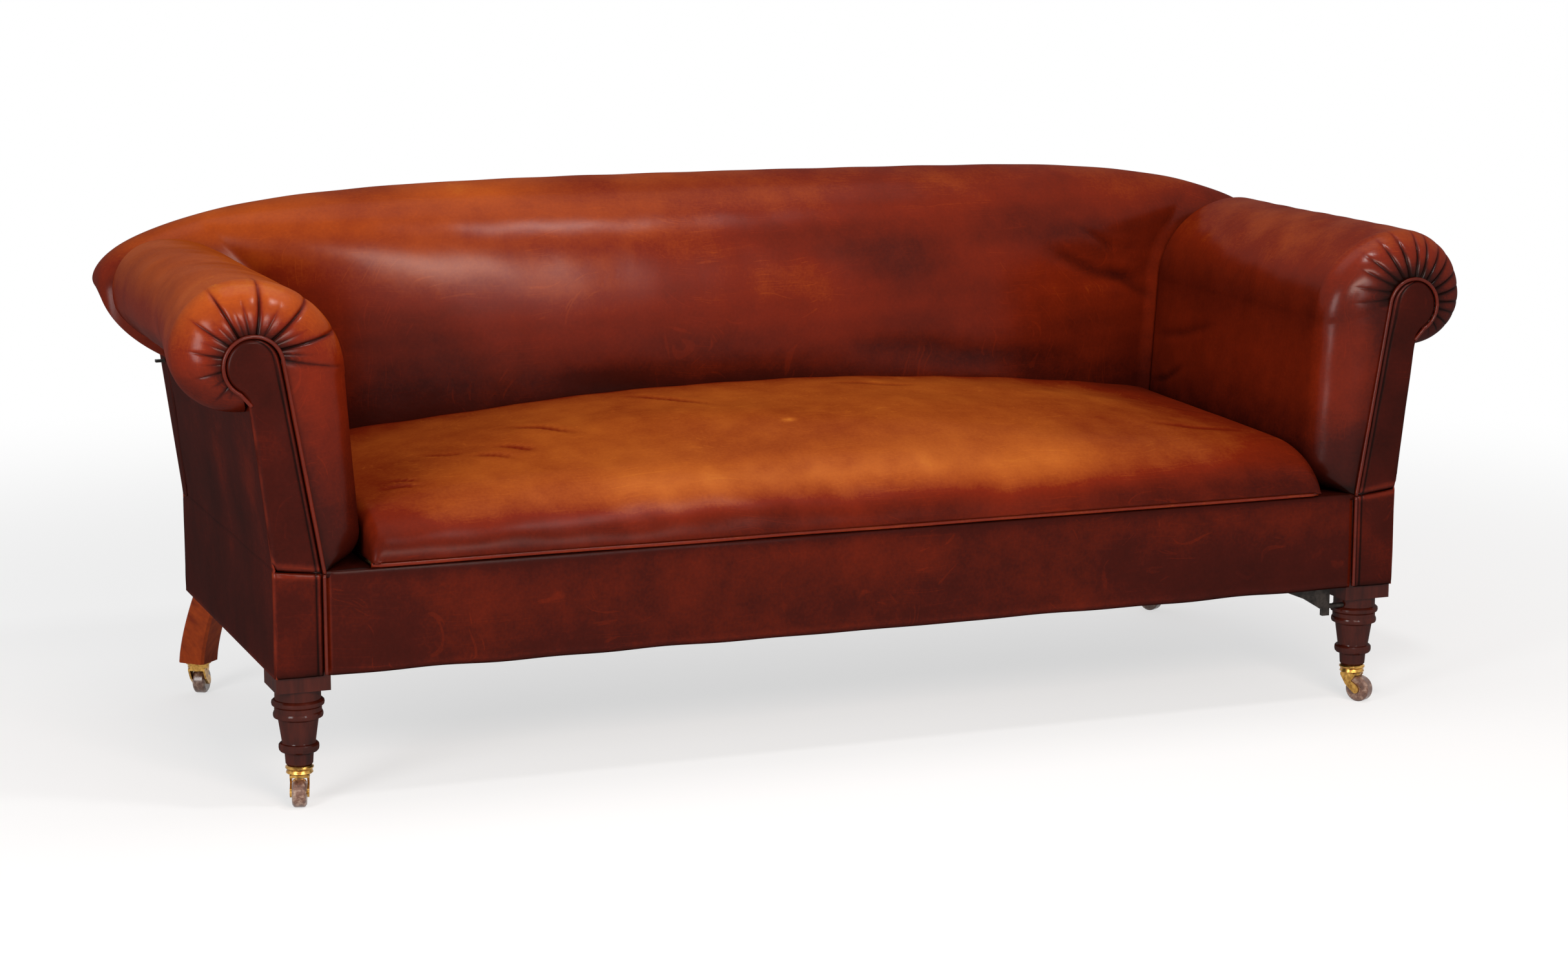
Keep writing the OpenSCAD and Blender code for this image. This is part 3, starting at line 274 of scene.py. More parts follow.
def lin(rgb):
    """A screen colour of 0 to 255 as the shaders' linear one."""
    return (*(c / 12.92 if c <= 0.04045 else ((c + 0.055) / 1.055) ** 2.4 for c in np.array(rgb) / 255), 1)


class Graph:
    """A short way to build the node tree of a material or a world."""

    def __init__(self, owner, output="ShaderNodeOutputMaterial"):
        owner.use_nodes = True
        self.owner = owner
        self.tree = owner.node_tree
        self.tree.nodes.clear()
        self.out = self.add(output)

    def set(self, socket, value):
        if isinstance(value, bpy.types.NodeSocket):
            self.tree.links.new(value, socket)
        else:
            socket.default_value = value

    def add(self, kind, *ordered, **named):
        """A new node, with values or sockets for its inputs in order or by name."""
        node = self.tree.nodes.new(kind)
        for socket, value in zip(node.inputs, ordered):
            self.set(socket, value)
        for key, value in named.items():
            self.set(node.inputs[key.replace("_", " ")], value)
        return node

    def math(self, operation, *values, clamp=False):
        node = self.add("ShaderNodeMath", *values)
        node.operation = operation
        node.use_clamp = clamp
        return node.outputs[0]

    def place(self):
        return self.add("ShaderNodeTexCoord").outputs["Object"]

    def noise(self, vector, scale, detail=3.0, rough=0.55):
        node = self.add("ShaderNodeTexNoise", Vector=vector, Scale=scale, Detail=detail, Roughness=rough)
        return node.outputs["Fac"]

    def stretched(self, vector, factors):
        node = self.add("ShaderNodeVectorMath", vector, factors)
        node.operation = "MULTIPLY"
        return node.outputs[0]

    def ramp(self, fac, stops):
        node = self.add("ShaderNodeValToRGB", fac)
        elements = node.color_ramp.elements
        while len(elements) < len(stops):
            elements.new(0.5)
        for element, (position, colour) in zip(elements, stops):
            element.position = position
            element.color = lin(colour)
        return node.outputs[0]

    def bump(self, height, strength, distance, **below):
        node = self.add("ShaderNodeBump", Height=height, Strength=strength, Distance=distance, **below)
        return node.outputs[0]

    def finish(self, **values):
        """Closes a material with a principled shader and gives it back."""
        return self.close(self.add("ShaderNodeBsdfPrincipled", **values))

    def close(self, shader):
        self.set(self.out.inputs[0], shader.outputs[0])
        return self.owner


def named_graph(name):
    return Graph(bpy.data.materials.new(name))


LEATHER_STOPS = [(0.0, (20, 5, 3)), (0.2, (52, 12, 6)), (0.42, (100, 27, 8)), (0.64, (147, 63, 14)),
                 (0.84, (176, 102, 24)), (1.0, (212, 146, 60))]
# The seat's hide is browner where it is pale
SEAT_STOPS = LEATHER_STOPS[:3] + [(0.56, (134, 61, 19)), (0.68, (154, 79, 25)), (0.84, (178, 108, 34)),
                                  LEATHER_STOPS[-1]]
# A wax film over a hide that doesn't shine itself: the film keeps its strength from every side
FILM_IOR = 2.4


def leather(name, roughness, mottle, film, stops=LEATHER_STOPS):
    """Polished, aged hide: mottled colour, fine grain, light scratches and rubbed edges, with painted shade
    and painted highlights from the tone attribute.
    """
    g = named_graph(name)
    rest, tone = g.add("ShaderNodeAttribute"), g.add("ShaderNodeAttribute")
    rest.attribute_name, tone.attribute_name = "rest", "tone"
    at = rest.outputs["Vector"]
    level, dark, wear_and_sheen = g.add("ShaderNodeSeparateColor", tone.outputs["Color"]).outputs
    broad = g.noise(at, 5.0, 3.0)
    middle = g.math("SUBTRACT", g.noise(at, 24.0, 4.0, 0.6), 0.5)
    fine = g.noise(at, 210.0, 3.0, 0.6)
    value = g.math("MULTIPLY_ADD", g.math("SUBTRACT", broad, 0.5), mottle, level)
    value = g.math("MULTIPLY_ADD", middle, mottle * 0.8, value)
    value = g.math("MULTIPLY_ADD", g.math("SUBTRACT", fine, 0.5), 0.10, value)
    # painted shade of folds, seams and gaps darkens the colour; rubbed places and painted highlights lighten
    # it
    value = g.math("MULTIPLY_ADD", dark, -0.42, value)
    value = g.math("MULTIPLY_ADD", wear_and_sheen, 0.34, value)
    # long, thin, slightly bent scratches in two directions, only in some patches
    patches = g.math("SUBTRACT", g.noise(at, 7.0, 2.0), 0.46, clamp=True)
    swirl = g.add("ShaderNodeTexNoise", Vector=at, Scale=5.0, Detail=1.0).outputs["Color"]
    bent = g.add("ShaderNodeVectorMath", g.stretched(swirl, (0.05, 0.05, 0.05)), at).outputs[0]
    lengthwise = g.noise(g.stretched(bent, (7.0, 60.0, 1000.0)), 1.0, 1.0)
    crosswise = g.noise(g.stretched(bent, (16.0, 1200.0, 16.0)), 1.0, 1.0)
    scratch = g.math("ADD", g.math("SUBTRACT", lengthwise, 0.67, clamp=True),
                     g.math("SUBTRACT", crosswise, 0.66, clamp=True))
    scratch = g.math("MULTIPLY", scratch, g.math("MULTIPLY", patches, 20.0))
    value = g.math("ADD", value, g.math("MINIMUM", scratch, 0.042))
    cells = g.add("ShaderNodeTexVoronoi", Vector=at, Scale=620.0)
    cells.feature = "DISTANCE_TO_EDGE"
    grain = g.bump(g.math("MINIMUM", cells.outputs["Distance"], 0.12), 0.12, 0.0006)
    rubbed = g.bump(middle, 0.10, 0.004, Normal=grain)
    shine = g.math("MULTIPLY_ADD", dark, 0.18, g.math("MULTIPLY_ADD", middle, 0.22, 0.6))
    gloss = g.math("MULTIPLY_ADD", wear_and_sheen, film * 1.5, film * 0.75)
    gloss = g.math("MULTIPLY_ADD", dark, film * -0.45, gloss, clamp=True)
    return g.finish(Base_Color=g.ramp(value, stops), Roughness=shine, Specular_IOR_Level=0.0,
                    Normal=g.bump(fine, 0.05, 0.0008, Normal=rubbed), Coat_Weight=gloss, Coat_IOR=FILM_IOR,
                    Coat_Roughness=roughness, Coat_Normal=rubbed)


def wood(name, dark, pale, roughness, film, scale):
    g = named_graph(name)
    at = g.place()
    lines = g.noise(g.stretched(at, scale), 1.0, 4.0, 0.6)
    cloud = g.noise(at, 16.0, 2.0)
    value = g.math("ADD", g.math("MULTIPLY", lines, 0.75), g.math("MULTIPLY", cloud, 0.3))
    colour = g.ramp(value, [(0.3, dark), (0.72, pale)])
    grain = g.bump(lines, 0.08, 0.001)
    return g.finish(Base_Color=colour, Roughness=0.6, Specular_IOR_Level=0.0, Normal=grain,
                    Coat_Weight=film, Coat_IOR=FILM_IOR, Coat_Roughness=roughness)


def metal(name, low, high, roughness, metallic, scale=60.0):
    g = named_graph(name)
    spots = g.noise(g.place(), scale, 4.0, 0.65)
    rough = g.math("MULTIPLY_ADD", spots, -0.25, roughness + 0.12)
    return g.finish(Base_Color=g.ramp(spots, [(0.32, low), (0.62, high)]), Metallic=metallic, Roughness=rough,
                    Normal=g.bump(spots, 0.12, 0.0006))


def fabric(name, low, high, thread):
    g = named_graph(name)
    at = g.place()
    threads = []
    for direction in "XY":
        wave = g.add("ShaderNodeTexWave", Vector=at, Scale=thread)
        wave.bands_direction = direction
        threads.append(wave.outputs["Fac"])
    weave = g.math("MULTIPLY", *threads)
    cloud = g.noise(at, 30.0, 3.0)
    value = g.math("ADD", g.math("MULTIPLY", weave, 0.5), g.math("MULTIPLY", cloud, 0.5))
    return g.finish(Base_Color=g.ramp(value, [(0.25, low), (0.75, high)]), Roughness=0.9,
                    Normal=g.bump(weave, 0.3, 0.0006))


def glazed_wheel(name):
    """Brown glazed body, worn grey in spots."""
    g = named_graph(name)
    spots = g.noise(g.place(), 130.0, 5.0, 0.7)
    colour = g.ramp(spots, [(0.3, (52, 30, 22)), (0.5, (96, 62, 46)), (0.7, (150, 128, 112))])
    return g.finish(Base_Color=colour, Roughness=g.math("MULTIPLY_ADD", spots, 0.5, 0.1), Coat_Weight=0.3,
                    Coat_Roughness=0.1, Normal=g.bump(spots, 0.1, 0.0006))


MATERIALS = {
    "leather_roll": leather("polished_hide_roll", 0.22, 0.17, 0.062),
    "leather_seat": leather("polished_hide_seat", 0.30, 0.16, 0.03, SEAT_STOPS),
    "leather_panel": leather("polished_hide_panel", 0.27, 0.16, 0.036),
    "leather_trim": leather("polished_hide_trim", 0.2, 0.14, 0.085),
    "mahogany": wood("dark_mahogany", (30, 9, 6), (66, 22, 13), 0.16, 0.08, (60.0, 60.0, 8.0)),
    "frame_wood": wood("frame_beech", (46, 28, 17), (84, 54, 34), 0.5, 0.02, (12.0, 60.0, 60.0)),
    "padding": fabric("horsehair_felt", (150, 130, 96), (206, 190, 158), 900.0),
    "webbing": fabric("jute_webbing", (120, 92, 56), (176, 146, 98), 500.0),
    "black_cloth": fabric("black_bottom_cloth", (16, 15, 15), (38, 36, 35), 1100.0),
    "spring_steel": metal("coppered_spring", (90, 66, 48), (168, 140, 116), 0.35, 1.0),
    "pin_steel": metal("hinge_steel", (110, 110, 112), (176, 176, 178), 0.3, 1.0),
    "iron": metal("black_iron", (18, 16, 15), (52, 46, 42), 0.55, 0.7, 90.0),
    "brass": metal("aged_brass", (118, 78, 34), (206, 160, 84), 0.3, 1.0, 110.0),
    "castor_ceramic": glazed_wheel("brown_glazed_wheel"),
}
WARM_MAHOGANY = wood("warm_mahogany", (108, 34, 9), (158, 64, 18), 0.2, 0.05, (60.0, 60.0, 8.0))
BACK_HIDE = leather("polished_hide_back", 0.25, 0.16, 0.058)

for row in frame["record"]["subparts"]:
    mesh = cad[row["node"]].data
    mesh.materials.clear()
    warm = row["node"].startswith("rear_leg")
    mesh.materials.append(WARM_MAHOGANY if warm else MATERIALS[row["material_slot"]])


# Arms: two outlines with the same number of points, the leather's and the one it draws in to at the piping

FLOOR_N, CORNER_N, INNER_N, SHOULDER_N, ROLL_N = 10, 16, 46, 96, 95
INSIDE_N = FLOOR_N + CORNER_N + INNER_N
LAP_X, LAP_Z, LAP_CORE_Z = 902.0, 366.3, 359.4
EDGE_LOW = np.array((FACING_IN, FOLD_Z - 10.0))
EDGE_LEAN = math.degrees(math.atan((SCROLL_X - SCROLL_R - FACING_IN) / (SCROLL_Z - EDGE_LOW[1])))
ACROSS_EDGE = np.array((-math.cos(math.radians(EDGE_LEAN)), math.sin(math.radians(EDGE_LEAN))))
EDGE_TOP = (SCROLL_X, SCROLL_Z) + SCROLL_R * ACROSS_EDGE
CORNER_RUN = CORNER_R * math.pi / 2
CORNER_TOP = lerp(EDGE_LOW, EDGE_TOP, CORNER_RUN / (CORNER_RUN + SHOULDER_Z - ARM_LOW - CORNER_R))
ROLL_NECK = (ROLL_X, ROLL_Z - ROLL_DROP)
THROAT = (950.0, 614.7)


def scroll_arc(radius, start, stop, count, end=False):
    return arc(SCROLL_X, SCROLL_Z, radius, radius, start, stop, count, end)


arm_skin = np.concatenate([
    line((LAP_X, LAP_Z), (ARM_IN + CORNER_R, ARM_LOW), FLOOR_N),
    arc(ARM_IN + CORNER_R, ARM_LOW + CORNER_R, CORNER_R, CORNER_R, 270, 180, CORNER_N),
    line((ARM_IN, ARM_LOW + CORNER_R), (INNER_X, SHOULDER_Z), INNER_N),
    arc(ROLL_X, SHOULDER_Z, ROLL_X - INNER_X, ROLL_Z + ROLL_R - SHOULDER_Z, 180, 90, SHOULDER_N),
    arc(ROLL_X, ROLL_Z, ROLL_R, ROLL_R, 90, 0, ROLL_N),
    arc(ROLL_X, ROLL_Z, ROLL_R, ROLL_DROP, 0, -90, ROLL_N, True)])
arm_core = np.concatenate([
    line((LAP_X, LAP_CORE_Z), EDGE_LOW, FLOOR_N),
    line(EDGE_LOW, CORNER_TOP, CORNER_N),
    line(CORNER_TOP, EDGE_TOP, INNER_N),
    scroll_arc(SCROLL_R, 180 - EDGE_LEAN, 90, SHOULDER_N),
    scroll_arc(SCROLL_R, 90, -NECK_ANGLE, 2 * ROLL_N, True)])
along = np.concatenate([[0], np.cumsum(np.hypot(*np.diff(arm_skin, axis=0).T))])
# The angle of each point round the scroll, out of reach for the points of the inside face, and round the roll
OFF_SCROLL = 400.0
scroll_angle = np.concatenate([
    np.full(INSIDE_N, OFF_SCROLL), np.linspace(180 - EDGE_LEAN, 90, SHOULDER_N, endpoint=False),
    np.linspace(90, -NECK_ANGLE, 2 * ROLL_N)])
roll_angle = np.concatenate([
    np.full(INSIDE_N, 180.0), np.linspace(180, 90, SHOULDER_N, endpoint=False),
    np.linspace(90, 0, ROLL_N, endpoint=False), np.linspace(0, -90, ROLL_N)])
# Behind the nose the outer part of the roll draws in
TAPER, TAPER_RUN = 34.0, 210.0


def drawn_in(y):
    return TAPER * smooth(np.asarray(y) / TAPER_RUN)


def roll_section(y):
    """The outline of the arm's leather at each distance y, as rows of (x, z)."""
    pull = drawn_in(y)[:, None] * rise(roll_angle, 70, -110)
    turn = np.radians(roll_angle)
    return arm_skin - pull[..., None] * np.stack([np.cos(turn), np.sin(turn)], -1)


# The arm's rows, from the piping over the nose and along the roll to its rear edge, and how far each draws in
TAIL_Y, TAIL_RUN, TAIL_SHARE = ARM_REAR - 6, 5.4, 0.075
nose_a = np.radians(np.linspace(90, 0, 34, endpoint=False))
run_y = NOSE_Y + (TAIL_Y - NOSE_Y) * np.linspace(0, 1, 84) ** 1.25
tail_a = np.radians(np.linspace(15, 90, 6))
row_y = np.concatenate([NOSE_Y - NOSE_DEPTH * np.sin(nose_a), run_y, TAIL_Y + TAIL_RUN * np.sin(tail_a)])
core_share = np.concatenate([1 - np.cos(nose_a), np.zeros(len(run_y)), TAIL_SHARE * (1 - np.cos(tail_a))])

# Pleats round the noses: angle round the scroll, depth, and reach from the piping
PLEATS = {
    "left": [(-46, 1.4, 24), (-35, 2.2, 36), (-21, 1.2, 24), (-6, 2.4, 34), (8, 1.2, 22), (20, 2.6, 40),
             (32, 1.2, 26), (43, 3.2, 52), (54, 1.2, 24), (66, 4.6, 74), (76, 1.4, 26), (85, 2.0, 40),
             (99, 5.0, 84), (111, 1.8, 34), (126, 5.2, 88), (137, 1.4, 30), (148, 4.6, 80), (158, 1.2, 26),
             (168, 2.2, 60)],
    "right": [(-45, 2.0, 34), (-33, 2.4, 40), (-20, 3.0, 46), (-7, 3.2, 50), (6, 3.4, 54), (19, 3.8, 58),
              (32, 3.8, 60), (45, 4.0, 64), (58, 4.0, 64), (71, 4.2, 66), (84, 4.2, 66), (97, 4.0, 64),
              (110, 3.6, 56), (122, 3.0, 48), (134, 2.4, 40), (147, 1.8, 34), (162, 1.4, 28)],
}
PLEAT_WIDTH, PLEAT_SHOULDER, PLEAT_SWAY, PUFF = 1.5, 6.5, 3.0, 2.0
# Folds of the inside faces, as (y, distance along the section), width and depth
ARM_FOLDS = {
    "left": [([(380, 210), (470, 180), (548, 176)], 7, 1.6), ([(60, 150), (150, 120), (230, 112)], 8, 1.2)],
    "right": [([(30, 132), (120, 118), (230, 122)], 9, 1.1), ([(180, 150), (320, 128), (430, 134)], 11, 1.0),
              ([(430, 250), (500, 215), (548, 205)], 7, 1.6), ([(340, 330), (450, 300), (545, 286)], 9, 1.4)],
}
# Colour level low on the inside face, what it gains to the top, and what it gains half way; the dark low part
# is painted shade by the seat
ARM_LEVELS = {"left": (0.16, 0.22, 0.0), "right": (0.12, 0.11, 0.15)}
ARM_SEEDS = {"left": 3, "right": 4}
# A line inside the arm, which its leather faces away from
HEART_X, HEART_Z, HEART_FRONT, HEART_REAR = 925.0, 600.0, 20.0, 540.0


def arm_leather(side_name, side):
    """The leather over an arm: inside face, shoulder, roll and pleated nose."""
    grid = upright(lerp(roll_section(row_y), arm_core, core_share[:, None, None]), row_y[:, None])
    y, z = grid[..., 1], grid[..., 2]
    inside = moved(grid, x=HEART_X, y=np.clip(y, HEART_FRONT, HEART_REAR), z=HEART_Z)
    normal = outward(grid, inside)
    front = np.clip((NOSE_Y - row_y) / NOSE_DEPTH, 0, 1)[:, None]
    from_piping = NOSE_DEPTH * np.arccos(front) + np.maximum(row_y - NOSE_Y, 0)[:, None]
    radius = lerp(ROLL_R, SCROLL_R, core_share)[:, None]
    depth = np.zeros(y.shape)
    cover = np.zeros(y.shape)
    for k, (angle, deep, reach) in enumerate(PLEATS[side_name]):
        bend = angle + PLEAT_SWAY * math.sin(3.1 * k) * np.minimum(from_piping / 90, 1)
        gap = np.radians(np.abs(scroll_angle - bend)) * radius
        fall = 1 / (1 + np.exp((from_piping - reach) / (0.17 * reach)))
        groove = fade(gap, PLEAT_WIDTH) * fall
        depth -= deep * (0.72 * groove + 0.28 * ridge(gap, 0, PLEAT_SHOULDER) * fall)
        cover = np.maximum(cover, groove * min(deep / 4.0, 1.1))
    pleated = rise(scroll_angle, -NECK_ANGLE, 30) * rise(scroll_angle, 180, -10)
    bulge = pleated * (1 - cover) * np.sqrt(front) * (1 - front ** 8)
    uneven = 1.3 * waves(grid, 260, ARM_SEEDS[side_name]) + 0.5 * waves(grid, 90, 5)
    uneven *= np.minimum(1, np.minimum(along, along[-1] - along) / 60)
    uneven *= np.minimum(1, (ARM_REAR - y) / 40)
    folds = creases(y, along, ARM_FOLDS[side_name])
    floor = rise(along, 70, 40)
    out = grid + normal * ((depth * pleated + PUFF * bulge + uneven) * floor + folds)[..., None]

    height = rise(z, 380, 300)
    top = smooth((normal[..., 2] + 0.2) / 1.1)
    low, gain, middle = ARM_LEVELS[side_name]
    level = low + gain * height + middle * 4 * height * (1 - height)
    # painted light: lighter where the hide faces up, darker where it faces down
    level = level + 0.20 * top - 0.10 * smooth(-normal[..., 2] * 1.5)
    # painted shade in the pleats, in the folds, at the foot of the inside face and beside the piping
    dark = np.clip(cover * pleated * 1.1, 0, 1) + 0.5 * np.clip(-folds / 3, 0, 1) + 0.5 * (1 - floor)
    dark = dark + 0.55 * ridge(from_piping, 0, 17) * (0.35 + 0.65 * pleated)
    # painted highlights on the puffs between the pleats, and lighter patches on the upward faces (wear and
    # painted light)
    patches = np.clip(0.5 + waves(grid, 120, 9), 0, 1)
    wear_and_sheen = 0.22 * np.clip(bulge, 0, 1) * top + 0.12 * rise(top, 0.6, 0.4) * patches
    hide = skin("arm_leather_" + side_name, out, inside, side_name + "_arm",
                ("arm_cover_" + side_name, "arm_stuffing_" + side_name), tones(level, dark, wear_and_sheen), side,
                slot="leather_roll")


# Front panels of the arms and posts
FACING_COLUMNS = 34
SEAM_INSET = 8.5
UNDER_PIPING = 0.4


def facing_grid(inner_edge, outer_edge, base_y, dome, seed):
    """A front panel between two edges: swelling in the middle, with a seam line beside its inner piping."""
    share = np.linspace(0, 1, FACING_COLUMNS)
    grid = upright(lerp(inner_edge[:, None], outer_edge[:, None], share[:, None]), 0.0)
    width = np.hypot(*(outer_edge - inner_edge).T)[:, None]
    from_edge = share * width
    to_edge = (1 - share) * width
    swell = dome * np.sqrt(np.clip(4 * share * (1 - share), 0, 1)) * smooth(width / 40)
    swell = swell * (1 + 0.5 * rise(grid[..., 2], 590, 60))
    seam = 1.3 * ridge(from_edge, SEAM_INSET, 1.1)
    corner = 3.2 * fade(to_edge, 2.0) + 1.6 * fade(from_edge, 1.6)
    grid[..., 1] = base_y - swell + seam + corner - 0.7 * waves(grid, 70, seed)
    return grid, from_edge, to_edge


def facing_tone(grid, from_edge, to_edge):
    # painted shade in the seam's groove and beside the inner piping; lighter towards the top, along the
    # rubbed outer edge and on a strip beside the piping
    level = 0.145 + 0.04 * rise(grid[..., 2], 560, 120) + 0.05 * waves(grid, 120, 12)
    dark = 0.6 * ridge(from_edge, SEAM_INSET, 1.5) + 0.35 * fade(from_edge, 3)
    worn = np.clip(0.65 + 0.5 * waves(grid, 90, 13), 0.1, 1)
    return tones(level, dark, ridge(to_edge, 0, 2.2) * worn + 0.35 * ridge(from_edge, 5, 1.6))


KEYHOLE_ROWS = 120
keyhole_inner = boundary(np.concatenate([
    line(EDGE_LOW, EDGE_TOP, 60),
    scroll_arc(SCROLL_R - UNDER_PIPING, 180 - EDGE_LEAN, 90, 30, True)]), KEYHOLE_ROWS) + (0.8, 0)
keyhole_outer = boundary(np.concatenate([
    line((SIDE_OUT, ARM_FLOOR), ROLL_NECK, 40),
    line(ROLL_NECK, THROAT, 6),
    scroll_arc(SCROLL_R - UNDER_PIPING, -NECK_ANGLE, 90, 40, True)]), KEYHOLE_ROWS)
# The keyhole panel's foot at its inner edge, its rise along the fold and its last step up at the corner
KEYHOLE_FOOT, FOOT_RISE, FOOT_RISE_SHARE = 352.0, 8.0, 0.88
FOOT_STEP, FOOT_STEP_SHARE = 9.7, 0.1
FOOT_ROWS, FOOT_ROW_HEIGHT = 14, 3.0
POST_TOP_IN, POST_TOP_OUT, POST_ROWS = 350.4, 358.0, 50
# Laps of the leather at the outer end of the fold, as (x, z), above it on the arm and below it on the post
ARM_LAPS = [([(905, 380), (921, 362)], 1.6, 1.4), ([(900, 392), (921, 378)], 1.8, 1.0)]
POST_LAPS = [([(893, 346), (921, 356)], 1.8, 1.3), ([(880, 352), (921, 338)], 1.8, 0.8)]


def keyhole_panel(side_name, side):
    """The front panel of an arm, its lower edge along the fold."""
    grid, from_edge, to_edge = facing_grid(keyhole_inner, keyhole_outer, FRONT - 1.5, 4.2, 21 + side)
    share = np.linspace(0, 1, FACING_COLUMNS)
    rows = np.arange(KEYHOLE_ROWS)[:, None]
    foot = KEYHOLE_FOOT + FOOT_RISE * np.minimum(share / FOOT_RISE_SHARE, 1)
    foot += FOOT_STEP * rise(share, 1 - FOOT_STEP_SHARE, FOOT_STEP_SHARE)
    grid[..., 2] = lerp(grid[..., 2], foot + rows * FOOT_ROW_HEIGHT, smooth(1 - rows / FOOT_ROWS))
    grid[..., 1] += 2.6 * fade(rows, 1.0)
    grid[..., 1] -= creases(grid[..., 0], grid[..., 2], ARM_LAPS)
    tone = facing_tone(grid, from_edge, to_edge)
    # painted shade in the gap along the foot at the fold, and just above it a lighter rubbed edge (wear and
    # painted highlight)
    tone[..., 1] += 0.15 * fade(rows, 1.0)
    tone[..., 2] += 0.4 * ridge(rows, 2, 1.5)
    skin("arm_facing_" + side_name, grid, behind(grid, 50), side_name + "_arm",
         ("arm_end_covers_" + side_name,), tone, side)


REAR_CENTRE, REAR_SHARE, REAR_GAP = np.array((900.0, 560.0)), 0.965, 2.0
REAR_CORNER = (905.0, 367.0)


def arm_rear_panel(side_name, side):
    """The plain panel at the rear end of an arm, a little smaller than the arm."""
    outline = roll_section(np.array([ARM_REAR]))[0]
    top = INSIDE_N + SHOULDER_N
    low, neck = (SIDE_OUT - REAR_GAP, ARM_FLOOR + REAR_GAP), (ROLL_X - REAR_GAP, ROLL_Z - ROLL_DROP)
    inner = boundary(outline[FLOOR_N:top + 1], 70)
    outer = np.concatenate([line(REAR_CORNER, low, 4), line(low, neck, 30), outline[top:][::-1]])
    outer = boundary(outer, 70)
    flat = lerp(inner[:, None], outer[:, None], np.linspace(0, 1, 20)[:, None])
    grid = upright(REAR_CENTRE + (flat - REAR_CENTRE) * REAR_SHARE, ARM_REAR - 1.0)
    grid[..., 1] -= 0.5 * (1 + waves(grid, 80, 31))
    skin("arm_rear_panel_" + side_name, grid, behind(grid, -60), side_name + "_arm", (), (0.2, 0, 0), side)


PIPING_R, POST_PIPING_R, PIPING_TAIL = 2.9, 2.7, 16.0
POST_PIPING_TOP, POST_PIPING_FOOT = 349.5, 203.0


def pipings(side_name, side):
    """Piping round the keyhole and down its inner edge, and on down the post."""
    route = np.concatenate([line(EDGE_LOW + PIPING_R * ACROSS_EDGE, EDGE_TOP + PIPING_R * ACROSS_EDGE, 60),
                            scroll_arc(SCROLL_R + PIPING_R, 180 - EDGE_LEAN, -NECK_ANGLE, 90, True)])
    tail = line(route[-1], (ROLL_X - 1.0, ROLL_Z - ROLL_DROP + PIPING_TAIL), 10, True)
    path = upright(np.concatenate([route, tail[1:]]), FRONT - PIPING_R)
    path[:, 1] += 0.35 * waves(path, 40, 41)
    cord("arm_piping_cord_" + side_name, path, PIPING_R, side_name + "_arm", ("arm_piping_" + side_name,),
         (0.24, 0.0, 0.12), side)
    x = FACING_IN - PIPING_R + 0.4
    path = upright(line((x, POST_PIPING_TOP), (x, POST_PIPING_FOOT), 30, True), FRONT - 2.2)
    cord("post_piping_cord_" + side_name, path, POST_PIPING_R, "frame", (), (0.22, 0.1, 0.3), side)


def post_facing(side_name, side):
    """The lower panel over the front post."""
    inner_x = FACING_IN + 0.6
    inner = line((inner_x, POST_TOP_IN), (inner_x, FRAME_Z), POST_ROWS, True)
    outer = line((SIDE_OUT, POST_TOP_OUT), (SIDE_OUT, FRAME_Z), POST_ROWS, True)
    grid, from_edge, to_edge = facing_grid(inner, outer, FRONT, 1.8, 51 + side)
    rows = np.arange(POST_ROWS)[:, None]
    grid[..., 1] += 2.2 * fade(rows, 0.8) + 2.5 * fade(rows[::-1], 1.0)
    grid[..., 1] -= creases(grid[..., 0], grid[..., 2], POST_LAPS)
    tone = facing_tone(grid, from_edge, to_edge)
    tone[..., 0] += 0.06
    # painted shade in the gap at the fold along the top and where the hem turns under at the foot; below the
    # fold a lighter rubbed edge (wear and painted highlight)
    tone[..., 1] += 0.15 * fade(rows, 0.8) + 0.5 * fade(rows[::-1], 1.5)
    tone[..., 2] += 0.4 * ridge(rows, 1.5, 1.2)
    skin("post_facing_leather_" + side_name, grid, behind(grid, 50), "frame",
         ("post_facings",) if side > 0 else (), tone, side)


SIDE_START, SIDE_TOP, LIFT_Z, NOSE_LIFT = -45.4, 581.0, 420.0, 30.0
# The rows are close together where the hide bends over the fold
BEND_LOW, BEND_HIGH = 343.0, 380.0


